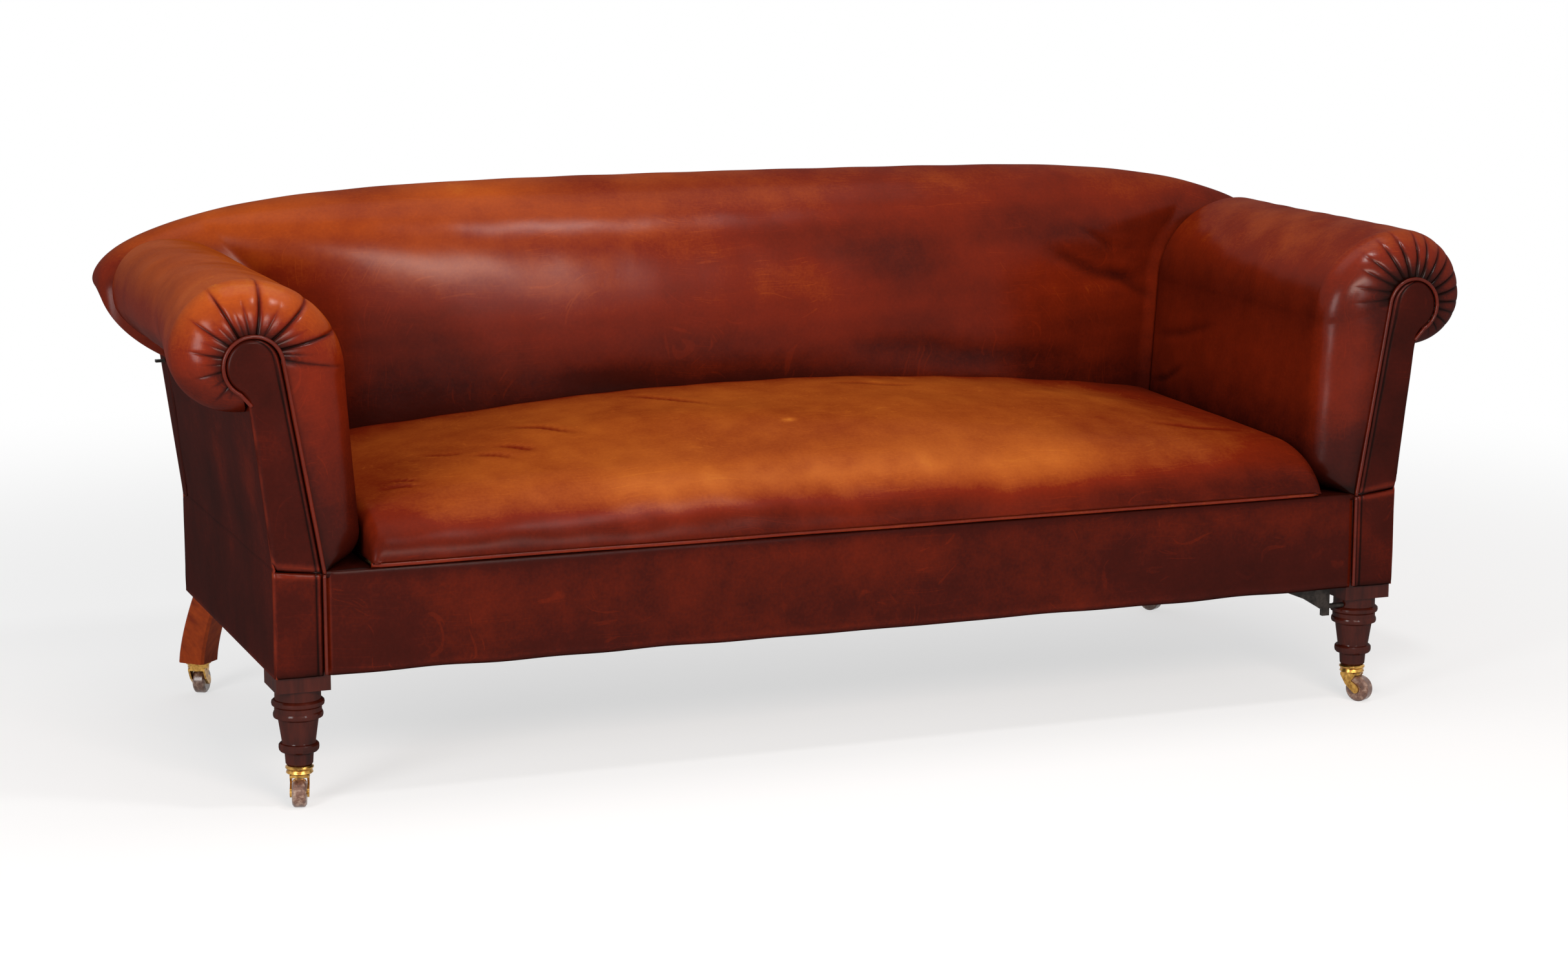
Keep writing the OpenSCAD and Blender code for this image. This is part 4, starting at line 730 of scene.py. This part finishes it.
def side_leather(side_name, side):
    """The outer side of the frame and the arm, one hide over the fold."""
    z = np.concatenate([np.linspace(FRAME_Z, BEND_LOW - 3, 24), np.linspace(BEND_LOW, BEND_HIGH, 26),
                        np.linspace(BEND_HIGH + 5, SIDE_TOP, 46)])[:, None]
    share = np.linspace(0, 1, 90)
    grid = np.zeros((len(z), len(share), 3))
    grid[..., 1] = lerp(SIDE_START, lerp(REAR - HIDE, ARM_REAR, rise(z, 350, 14)), share)
    lifted = drawn_in(grid[..., 1]) + NOSE_LIFT * (1 - rise(grid[..., 1], SIDE_START + 1, 70))
    grid[..., 2] = z + lifted * rise(z, LIFT_Z, SIDE_TOP - LIFT_Z)
    lean = lerp(SIDE_OUT, ROLL_X, np.clip((grid[..., 2] - ARM_FLOOR) / (SIDE_TOP - ARM_FLOOR), 0, 1))
    grid[..., 0] = lean - (0.9 * ridge(z, FOLD_Z, 3.2) - 0.5 * ridge(z, FOLD_Z + 9, 6))
    grid[..., 0] += 0.8 * waves(grid, 150, 61 + side) * rise(z, FRAME_Z, 30)
    edge = fade(grid[..., 1] - SIDE_START, 2.0)
    grid[..., 0] -= 1.8 * edge
    level = 0.16 + 0.04 * waves(grid, 200, 63) + 0.03 * rise(z, 400, 160)
    worn = np.clip(0.6 + 0.5 * waves(grid, 90, 64), 0.1, 1) * (1 - rise(grid[..., 2], 540, 30))
    # painted shade in the crease along the fold; the front and bottom edges are rubbed
    tone = tones(level, 0.12 * ridge(z, FOLD_Z, 2.0), edge * worn + 0.3 * fade(z - FRAME_Z, 3))
    sheet = skin("side_leather_" + side_name, grid, moved(grid, x=800), None,
                 ("outside_arm_cover_" + side_name, "side_cover_" + side_name), tone, side)
    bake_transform(sheet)


LINING_IN, LINING_OUT, LINING_FRONT, LINING_REAR = 774.0, 896.0, -45.8, 556.0
LINING_Z, LINING_THICK, LINING_CURL = 353.8, 1.2, 2.2
LINING_FRONT_Z = (344.0, 351.5)


def fold_lining(side_name, side):
    """Plain hide on the frame between the seat and the fold, turned down at the front."""
    x = np.linspace(LINING_IN, LINING_OUT, 26)
    y = np.concatenate([[LINING_FRONT] * 2, np.linspace(LINING_FRONT + LINING_CURL, LINING_REAR, 60)])
    grid = np.zeros((len(y), len(x), 3))
    grid[..., 0] = x
    grid[..., 1] = y[:, None]
    grid[..., 2] = LINING_Z + 1.6 * fade(x - LINING_IN, 6) + 0.25 * waves(grid, 60, 71)
    grid[:2, :, 2] = np.array(LINING_FRONT_Z)[:, None]
    # its hide is darker than the rest: painted shade under the arm
    skin("fold_lining_" + side_name, grid, moved(grid, y=200, z=300), "frame", (), (0.10, 0, 0), side,
         thick=LINING_THICK)


ARM_PIECES = (arm_leather, keyhole_panel, arm_rear_panel, pipings, post_facing, side_leather, fold_lining)
for side_name, side in SIDES:
    for make_piece in ARM_PIECES:
        make_piece(side_name, side)

# Back: rings across it, one at each distance from the middle

# The height that both ends close at, and how its height, depth and tips fade out towards them
END_Z, END_POWER, DEPTH_POWER, TIP_POWER = 700.0, 4, 0.6, 0.35
# How the face sinks back beside the arms, and where it starts to bend forward to the crown
SINK_POWER, CREASE_GAP = 5, 20.0
CURVE_LOW, CURVE_POWER = 480.0, 4
HEM_SHARE = 0.94
FACE_N, CROWN_N, REAR_N, HEM_N = 44, 34, 44, 14


def end_fade(x):
    return math.sqrt(max(1 - (abs(x) / BACK_HALF) ** END_POWER, 0))


NECK_FADE = end_fade(WING_X)


def arm_face(z):
    """How far from the middle the inside of an arm is at each height."""
    t = np.clip(z - SHOULDER_Z, 0, None) / (ROLL_Z + ROLL_R - SHOULDER_Z)
    bend = np.where(t < 0.7, np.sqrt(np.maximum(1 - t ** 2, 0)), np.maximum(0.714 - 0.98 * (t - 0.7), 0))
    low = lerp(ARM_IN, INNER_X, np.maximum(z - ARM_LOW - CORNER_R, 0) / (SHOULDER_Z - ARM_LOW - CORNER_R))
    return np.where(z > SHOULDER_Z, ROLL_X - (ROLL_X - INNER_X) * bend, low)


def back_face(x, z, ratio):
    """The front of the back: straight across, and sinking back beside the arms."""
    share = np.minimum(abs(x) / (arm_face(z) - CREASE_GAP), 1) ** SINK_POWER
    return BACK_ROLL_Y - (BACK_ROLL_Y - lerp(BACK_FRONT, WING_FRONT, share)) * ratio ** TIP_POWER


def back_ring(x):
    """Face, crown, rear of the roll and, past the stem, the hem under the wing."""
    e = end_fade(x)
    stem = abs(x) <= STEM_HALF
    ratio = 1.0 if stem else e / NECK_FADE
    top, centre = lerp(END_Z, BACK_TOP, e), lerp(END_Z, BACK_TOP - BACK_R, e)
    foot_line = lerp(FIXED_TOP, WING_Z, (abs(x) - SIDE_OUT) / (WING_X - SIDE_OUT))
    foot = max(BACK_LOW, foot_line) if stem else END_Z - (END_Z - WING_Z) * ratio
    neck_z = END_Z - (END_Z - BACK_NECK_Z) * ratio
    low = END_Z - (END_Z - CURVE_LOW) * ratio
    face_z = np.linspace(foot, END_Z, FACE_N, endpoint=False)
    crown_z = END_Z + (top - END_Z) * np.sin(np.radians(np.linspace(180, 90, CROWN_N, endpoint=False)))
    face_y, crown_y = (BACK_ROLL_Y + (back_face(x, z, ratio) - BACK_ROLL_Y)
                       * np.sqrt(1 - (np.clip(z - low, 0, None) / (top - low)) ** CURVE_POWER)
                       for z in (face_z, crown_z))
    a = np.radians(np.linspace(90, -90, (REAR_N + HEM_N if stem else REAR_N) + 1))
    rear_y = BACK_ROLL_Y + BACK_R * e ** DEPTH_POWER * np.cos(a)
    rear_z = centre + np.where(a >= 0, top - centre, centre - neck_z) * np.sin(a)
    y, z = [face_y, crown_y, rear_y], [face_z, crown_z, rear_z]
    if not stem:
        t = HEM_SHARE * np.arange(1, HEM_N + 1) / HEM_N
        y.append(lerp(BACK_ROLL_Y, float(back_face(x, np.array(foot), ratio)), t))
        z.append(lerp(neck_z, foot, t))
    y, z = np.concatenate(y), np.concatenate(z)
    return np.stack([np.full(len(y), x), y, z], 1)


# Folds of the back's face and of the seat, as (x, z) or (x, y), width and depth
BACK_FOLDS = [
    ([(560, 700), (664, 653), (790, 640)], 14, 2.6), ([(690, 650), (745, 622), (800, 600)], 12, 2.4),
    ([(-700, 560), (-760, 540), (-800, 525)], 10, 1.0), ([(-300, 520), (-120, 500), (100, 505)], 26, 1.6),
    ([(200, 560), (420, 530), (600, 520)], 24, 1.5), ([(610, 742), (690, 700), (770, 684)], 5, 1.3),
    ([(640, 718), (715, 676), (785, 660)], 5, 1.5)]
SEAT_FOLDS = [
    ([(-700, 124), (-682, 112), (-664, 100)], 5, 2.2), ([(-722, 92), (-694, 90), (-668, 76)], 6, 1.6),
    ([(-464, 302), (-420, 270), (-386, 218)], 9, 2.6), ([(-514, 203), (-490, 184), (-467, 158)], 8, 2.2),
    ([(-561, 181), (-530, 160), (-506, 132)], 7, 2.0), ([(-233, 408), (-182, 359), (-137, 293)], 9, 2.2),
    ([(-640, 240), (-600, 210), (-560, 196)], 7, 1.4), ([(120, 396), (190, 372), (260, 366)], 10, 1.4),
    ([(640, 300), (690, 260), (736, 244)], 8, 1.6), ([(560, 120), (640, 96), (720, 92)], 9, 1.3)]
TIP_X, TIP_ANGLE = 944.5, 88.5
# Where the back's rings come closer together towards the wings
BODY_HALF, ARM_HALF = 700.0, 900.0


def back_leather():
    """The back with its roll and both closed wings."""
    tip_angles = np.linspace(math.degrees(math.asin(TIP_X / BACK_HALF)), TIP_ANGLE, 26)
    tip = BACK_HALF * np.sin(np.radians(tip_angles))
    half = np.concatenate([np.linspace(0, BODY_HALF, 72), np.linspace(BODY_HALF + 8, ARM_HALF, 34),
                           np.linspace(ARM_HALF + 5, STEM_HALF, 9), tip])
    grid = np.stack([back_ring(x) for x in np.concatenate([-half[:0:-1], half])])
    for end in (0, -1):
        centre = grid[end].mean(axis=0)
        closing = [centre + (grid[end] - centre) * share for share in (0.5, 0.04)]
        grid = np.concatenate([closing[::-1], grid] if end == 0 else [grid, closing])
    x, y, z = np.moveaxis(grid, -1, 0)
    inside = moved(grid, x=np.clip(x, -960, 960), y=610, z=np.clip(z, 400, 735))
    normal = outward(grid, inside)
    on_front = rise(y, BACK_ROLL_Y - 30, -30)
    folds = creases(x, z, BACK_FOLDS) * on_front
    uneven = 1.8 * waves(grid, 420, 81) + 0.5 * waves(grid, 150, 82)
    uneven *= np.clip((z - z.min(axis=1, keepdims=True)) / 60, 0, 1)
    uneven *= np.clip(from_ends(len(grid)) / 20, 0, 1)[:, None]
    grid = grid + normal * (folds + uneven)[..., None]

    x, y, z = np.moveaxis(grid, -1, 0)
    # darker low down towards the seat (painted shade), lighter over the roll, and darker towards the right,
    # most at the top
    level = 0.12 + 0.07 * rise(x, -300, 900) + 0.23 * rise(z, 430, 200) + 0.20 * rise(z, 680, 130)
    level -= rise(x, -650, 1300) * (0.07 * rise(z, 500, 100) + 0.14 * rise(z, 670, 80))
    level += 0.06 * ridge(x, -150, 420) * ridge(z, 630, 90)
    level += 0.03 * waves(grid, 340, 84) + 0.03 * waves(grid * (1, 1, 4.0), 260, 85)
    # painted shade on the rear of the roll
    level -= 0.30 * rise(y, BACK_ROLL_Y + 20, 60)
    # lighter, rubbed patches where the hide faces up (wear and painted light), and a painted highlight: a
    # broad band of sheen below the roll on the left
    wear_and_sheen = 0.14 * rise(normal[..., 2], 0.75, 0.25) * np.clip(0.4 + waves(grid, 160, 83), 0, 1)
    wear_and_sheen += on_front * 0.34 * ridge(x, -470, 300) * ridge(z, 700, 50)
    # painted shade in the folds
    tone = tones(level, 0.5 * np.clip(-folds / 4, 0, 1), wear_and_sheen)
    back = skin("back_leather", grid, inside, "frame", ("back_cover", "back_stuffing"), tone,
                slot="leather_roll", material=BACK_HIDE)


def rear_line(z):
    """The back's plain rear, leaning out to the roll."""
    return lerp(REAR, BACK_ROLL_Y, np.maximum(z - LEAN_LOW, 0) / (BACK_NECK_Z - LEAN_LOW))


def wing_edge(z):
    """The back's half width from the fixed sides up to the wing."""
    return lerp(SIDE_OUT, WING_X, np.clip((z - FIXED_TOP) / (WING_Z - FIXED_TOP), 0, 1))


def outside_back():
    z = np.concatenate([np.linspace(FRAME_Z, 360, 30), np.linspace(365, BACK_NECK_Z - 0.6, 50)])[:, None]
    above = np.clip((z - WING_Z) / (BACK_NECK_Z - WING_Z), 0, 1)
    reach = np.where(z > WING_Z, lerp(WING_X, STEM_HALF - 2, above), wing_edge(z))
    share = np.linspace(-1, 1, 150)
    grid = np.stack(np.broadcast_arrays(reach * share, rear_line(z), z), -1)
    loose = np.sin(math.pi * (z - FRAME_Z) / (BACK_NECK_Z - FRAME_Z)) * (1 - np.abs(share) ** 8)
    edge = ridge(reach * (1 - np.abs(share)), 0, 3)
    grid[..., 1] += 1.2 * waves(grid, 300, 91) * loose - 1.6 * edge
    tone = tones(0.16 + 0.05 * waves(grid, 260, 92), 0.0, 0.6 * edge)
    skin("outside_back_leather", grid, behind(grid, -60), "frame", ("outside_back_cover",), tone)


# The front edge of the back's flat end goes straight up to the turn, and slants from there to the rear
END_TOP, END_TURN_Z, END_FORE, END_FORE_TOP = 632.0, 579.0, 566.7, 630.0
END_INSET, END_LEAST, END_PROUD = 2.7, 1.5, 0.2297


def back_end(side_name, side):
    """The flat end of the back, between the arm and the rear."""
    z = np.linspace(FIXED_TOP, END_TOP, 60)[:, None]
    fore = lerp(END_FORE, END_FORE_TOP, np.clip((z - END_TURN_Z) / (END_TOP - END_TURN_Z), 0, 1))
    aft = np.maximum(rear_line(z) - END_INSET, fore + END_LEAST)
    share = np.linspace(0, 1, 12)
    grid = np.stack(np.broadcast_arrays(wing_edge(z) + END_PROUD, lerp(fore, aft, share), z), -1)
    tone = tones(0.18, 0.0, 0.5 * ridge((1 - share) * 30, 0, 3))
    skin("back_end_leather_" + side_name, grid, moved(grid, x=800), "frame",
         ("back_end_covers",) if side > 0 else (), tone, side)


back_leather()
outside_back()
for side_name, side in SIDES:
    back_end(side_name, side)

# Seat

FRONT_RUN, CROWN, CROWN_RUN, REAR_RISE, SEAT_POWER = 120.0, 72.0, 330.0, 9.0, 0.85
NOSE_END_Y = FRONT_RUN - SEAT_NOSE
EDGE_R, REAR_R, WALL_N = 22.0, 20.0, 4
# Rubbed places on the seat: x, y, radius and strength
SEAT_RUBS = ((-54, 156, 7, 0.8), (132, 19, 36, 0.2), (226, -34, 50, 0.14), (-600, 130, 60, 0.14))


def seat_top(x, y):
    fore = np.sqrt(np.maximum(1 - (np.maximum(NOSE_END_Y - y, 0) / FRONT_RUN) ** 2, 0))
    crown = np.sin(np.radians(90 * np.minimum((y + SEAT_NOSE) / CROWN_RUN, 1)))
    return (lerp(SEAT_BASE, SEAT_SIDE, fore) + REAR_RISE * np.maximum(y, 0) / BACK_FRONT
            + CROWN * crown * np.maximum(1 - (x / SEAT_HALF) ** 2, 0) ** SEAT_POWER)


def seat_grid():
    """The seat's leather from its round front to the roll at its rear, with a wall at either side."""
    round_a = np.radians(np.concatenate([np.zeros(WALL_N), np.linspace(0, 90, 8, endpoint=False)]))
    edge_x, edge_drop = EDGE_R * (1 - np.cos(round_a)), EDGE_R * (1 - np.sin(round_a))
    middle = np.linspace(EDGE_R - SEAT_HALF, SEAT_HALF - EDGE_R, 190)
    x = np.concatenate([edge_x - SEAT_HALF, middle, (SEAT_HALF - edge_x)[::-1]])
    drop = np.concatenate([edge_drop, np.zeros(len(middle)), edge_drop[::-1]])
    wall_share = np.minimum(from_ends(len(x)) / WALL_N, 1)
    nose = FRONT_RUN * (1 - np.cos(np.radians(np.linspace(0, 90, 40, endpoint=False))))[:, None]
    roll = np.radians(np.linspace(0, 90, 9)[1:])[:, None]
    end_y = back_face(x, np.array(SEAT_SIDE), 1.0) - 2.5
    flat = lerp(NOSE_END_Y, end_y - REAR_R, np.linspace(0, 1, 66)[:, None])
    y = np.concatenate([(nose - SEAT_NOSE) * np.ones(len(x)), flat, end_y - REAR_R + REAR_R * np.sin(roll)])
    z = seat_top(x, y)
    z[-len(roll):] -= REAR_R * (1 - np.cos(roll))
    z = lerp(SEAT_BASE - 1, np.maximum(z - drop, SEAT_BASE), wall_share)
    return np.stack(np.broadcast_arrays(x, y, z), -1), end_y


def seat_leather():
    grid, end_y = seat_grid()
    x, y, z = np.moveaxis(grid, -1, 0)
    inside = moved(grid, x=0.8 * x, y=np.clip(y, 80, 480), z=200)
    folds = creases(x, y, SEAT_FOLDS)
    calm = np.clip((z - SEAT_BASE) / 25, 0, 1) * np.clip((SEAT_HALF - np.abs(x)) / 60, 0, 1)
    uneven = 2.2 * waves(grid, 330, 101) + 1.0 * waves(grid, 120, 102)
    grid = grid + outward(grid, inside) * ((folds + uneven) * calm)[..., None]

    x, y, z = np.moveaxis(grid, -1, 0)
    to_side = rise(np.abs(x), SEAT_HALF, -260)
    # darker low down on the front roll and the side walls (painted shade), lighter near the sides
    level = 0.27 + (0.18 + 0.11 * to_side) * rise(z, SEAT_BASE + 12, 62)
    level += 0.03 * waves(grid * (1, 0.6, 1), 240, 105)
    # painted shade at the rear where the seat runs under the back, and in the folds and the crease there;
    # darker to the right
    level -= 0.10 * rise(y, 380, 100) + 0.05 * rise(x, 250, 400)
    dark = 0.5 * np.clip(-folds / 3, 0, 1) + 0.5 * rise(y, end_y - 30, 30)
    band = ridge(y, 2, 26) * rise(x, -430, 80) * rise(x, 410, -80)
    wear_and_sheen = 0.2 * band * (0.7 + 0.3 * waves(grid, 50, 104))
    wear_and_sheen += 0.08 * to_side * np.clip(waves(grid, 110, 103), 0, 1)
    for rub_x, rub_y, radius, strength in SEAT_RUBS:
        wear_and_sheen += strength * ridge(x, rub_x, radius * 1.4) * ridge(y, rub_y, radius)
    seat = skin("seat_leather", grid, inside, "frame", ("seat_cover", "seat_stuffing"),
                tones(level, dark, wear_and_sheen), slot="leather_seat")


WELT_HALF, WELT_R, WELT_TURN, WELT_SINK = 776.0, 4.2, 16.0, 4.0


def seat_welt():
    """The welt along the foot of the seat, its ends turned in."""
    path = upright(line((-WELT_HALF, WELT_Z), (WELT_HALF, WELT_Z), 260, True), FRONT - 1.6)
    path[:, 2] += 0.6 * waves(path, 240, 111)
    path[:, 1] += WELT_SINK * rise(np.abs(path[:, 0]), WELT_HALF - WELT_TURN, WELT_TURN)
    cord("seat_welt_cord", path, WELT_R, "frame", ("seat_welt",), (0.38, 0.0, 0.12), sides=14)


BORDER_HALF, BORDER_TOP = 842.6, 355.0


def front_border():
    """The hide below the welt, its hem drooping a little over the rail."""
    x = np.linspace(-1, 1, 220) * BORDER_HALF
    v = np.linspace(0, 1, 40)[:, None]
    top = BORDER_TOP - 3.0 * np.clip((np.abs(x) - (BORDER_HALF - 8)) / 8, 0, 1) ** 3
    hem = FRAME_Z - 0.8 + 1.6 * waves(np.stack([x, 0 * x, 0 * x], -1), 160, 123)
    to_end = BORDER_HALF - np.abs(x)
    grid = np.stack(np.broadcast_arrays(x, FRONT + 0.4, lerp(top, hem, v)), -1)
    grid[..., 1] -= (1.6 + 0.9 * waves(grid, 180, 121)) * np.sin(v * math.pi) ** 0.5
    grid[..., 1] += 3.0 * fade(v, 0.02) + 2.0 * fade(1 - v, 0.02) + 3.0 * fade(to_end, 3.0)
    level = 0.19 + 0.045 * waves(grid * (0.4, 1, 1), 150, 122) + 0.03 * rise(grid[..., 2], 250, 90)
    level += 0.03 * ridge(x, 60, 420)
    # painted shade under the welt along the top and at the hem; the ends are rubbed
    dark = 0.5 * fade(v, 0.04) + 0.3 * fade(1 - v, 0.02)
    wear_and_sheen = 0.8 * ridge(to_end, 1, 2.5) + 0.12 * ridge(v, 0.95, 0.03)
    skin("front_border_leather", grid, behind(grid, 50), "frame", ("front_border",), tones(level, dark, wear_and_sheen))


# Beside the legs the bottom cloth is narrower than between them
CLOTH_THICK, CLOTH_SAG = 0.8, 5.0
FRONT_LEGS_Y, CLOTH_FRONT_HALF = 41.0, 836.0
REAR_LEGS_Y, CLOTH_REAR_HALF = 520.0, 845.0


def bottom_cloth():
    """The cloth under the seat frame, sagging a little between its tacks and kept clear of the legs."""
    low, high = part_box("bottom_cloth")
    share = np.linspace(low[0] / high[0], 1, 90)
    y = np.linspace(low[1] / MM + MID_Y, high[1] / MM + MID_Y, 50)[:, None]
    half = np.where(y > REAR_LEGS_Y, CLOTH_REAR_HALF, high[0] / MM)
    half = np.where(y < FRONT_LEGS_Y, CLOTH_FRONT_HALF, half)
    grid = np.stack(np.broadcast_arrays(share * half, y, FRAME_Z), -1)
    sag = np.sin(np.clip((y - y[0]) / (y[-1] - y[0]), 0, 1) * math.pi) * (1 - np.abs(share) ** 6)
    grid[..., 2] += 0.6 - CLOTH_SAG * sag + 0.5 * waves(moved(grid, z=0), 120, 131) * sag
    cloth = skin("bottom_cloth_sheet", grid, moved(grid, z=400), "frame", ("bottom_cloth",),
                 slot="black_cloth", thick=CLOTH_THICK)


seat_leather()
seat_welt()
front_border()
bottom_cloth()

# Floor, light and camera

FLOOR_HALF = 30.0
CORNERS = ((-1, -1), (1, -1), (1, 1), (-1, 1))


def background_rays(g):
    """1 for the rays that see the white background: camera, glossy and transmission rays."""
    rays = g.add("ShaderNodeLightPath").outputs
    total = g.math("MAXIMUM", rays["Is Camera Ray"], rays["Is Glossy Ray"])
    return g.math("MAXIMUM", total, rays["Is Transmission Ray"])


def pale_floor():
    """Plain white away from the sofa, and near it white paper that takes its shadow."""
    g = named_graph("pale_floor")
    paper = g.add("ShaderNodeBsdfDiffuse", (0.86, 0.86, 0.86, 1)).outputs[0]
    glow = g.add("ShaderNodeEmission", (1, 1, 1, 1)).outputs[0]
    distance = g.add("ShaderNodeVectorMath", g.place())
    distance.operation = "LENGTH"
    whiter = g.add("ShaderNodeMapRange", distance.outputs["Value"], 1.2, 3.4, 0.62, 1.0)
    whiter.interpolation_type = "SMOOTHSTEP"
    share = g.math("MULTIPLY", background_rays(g), whiter.outputs[0])
    return g.close(g.add("ShaderNodeMixShader", share, paper, glow))


floor = bpy.data.meshes.new("floor")
floor.from_pydata([(x * FLOOR_HALF, y * FLOOR_HALF, 0) for x, y in CORNERS], [], [(0, 1, 2, 3)])
floor.materials.append(pale_floor())
floor_obj = bpy.data.objects.new("floor", floor)
scene.collection.objects.link(floor_obj)

scene.world = bpy.data.worlds.new("studio")
sky = Graph(scene.world, "ShaderNodeOutputWorld")
soft, white = (sky.add("ShaderNodeBackground", (1, 1, 1, 1), strength).outputs[0] for strength in (0.34, 1.0))
sky.close(sky.add("ShaderNodeMixShader", background_rays(sky), soft, white))


def pose(obj, right, up, ahead, place):
    """Turns an object that looks along its own -Z."""
    obj.matrix_world = Matrix([[right[k], up[k], -ahead[k], place[k]] for k in range(3)] + [[0, 0, 0, 1]])


def softbox(name, place, target, size, watts, colour=(1, 1, 1)):
    lamp = bpy.data.lights.new(name, "AREA")
    lamp.shape = "RECTANGLE"
    lamp.size, lamp.size_y = size
    lamp.energy = watts
    lamp.color = colour
    obj = bpy.data.objects.new(name, lamp)
    scene.collection.objects.link(obj)
    ahead = np.array(target, float) - place
    ahead /= np.linalg.norm(ahead)
    right = np.cross(ahead, (0, 0, 1))
    right /= np.linalg.norm(right)
    pose(obj, right, np.cross(right, ahead), ahead, place)


softbox("window_box", (-0.25, -4.0, 2.25), (-0.1, 0.0, 0.6), (1.6, 0.85), 108, (1.0, 0.82, 0.72))
softbox("top_box", (0.5, -1.45, 3.2), (0.0, 0.1, 0.6), (0.22, 0.4), 26)
softbox("ceiling_box", (0.0, 0.2, 3.6), (0.0, 0.1, 0.0), (3.2, 1.8), 30)
softbox("left_box", (-3.2, -2.4, 1.4), (0.0, 0.0, 0.6), (1.0, 1.8), 78)
softbox("right_box", (0.65, -4.0, 1.5), (0.0, 0.0, 0.6), (0.3, 1.2), 18)

cam_data = bpy.data.cameras.new("camera")
cam_data.sensor_width = SENSOR_MM
cam_data.lens = SENSOR_MM * FOCAL_PX / IMAGE_W
camera = bpy.data.objects.new("camera", cam_data)
scene.collection.objects.link(camera)
ahead = np.array((math.sin(YAW) * math.cos(PITCH), math.cos(YAW) * math.cos(PITCH), -math.sin(PITCH)))
right = np.array((math.cos(YAW), -math.sin(YAW), 0.0))
up = np.cross(right, ahead)
cos_roll, sin_roll = math.cos(ROLL), math.sin(ROLL)
pose(camera, right * cos_roll + up * sin_roll, up * cos_roll - right * sin_roll, ahead, metres(CAMERA_MM))
scene.camera = camera
scene.view_settings.view_transform = "Standard"
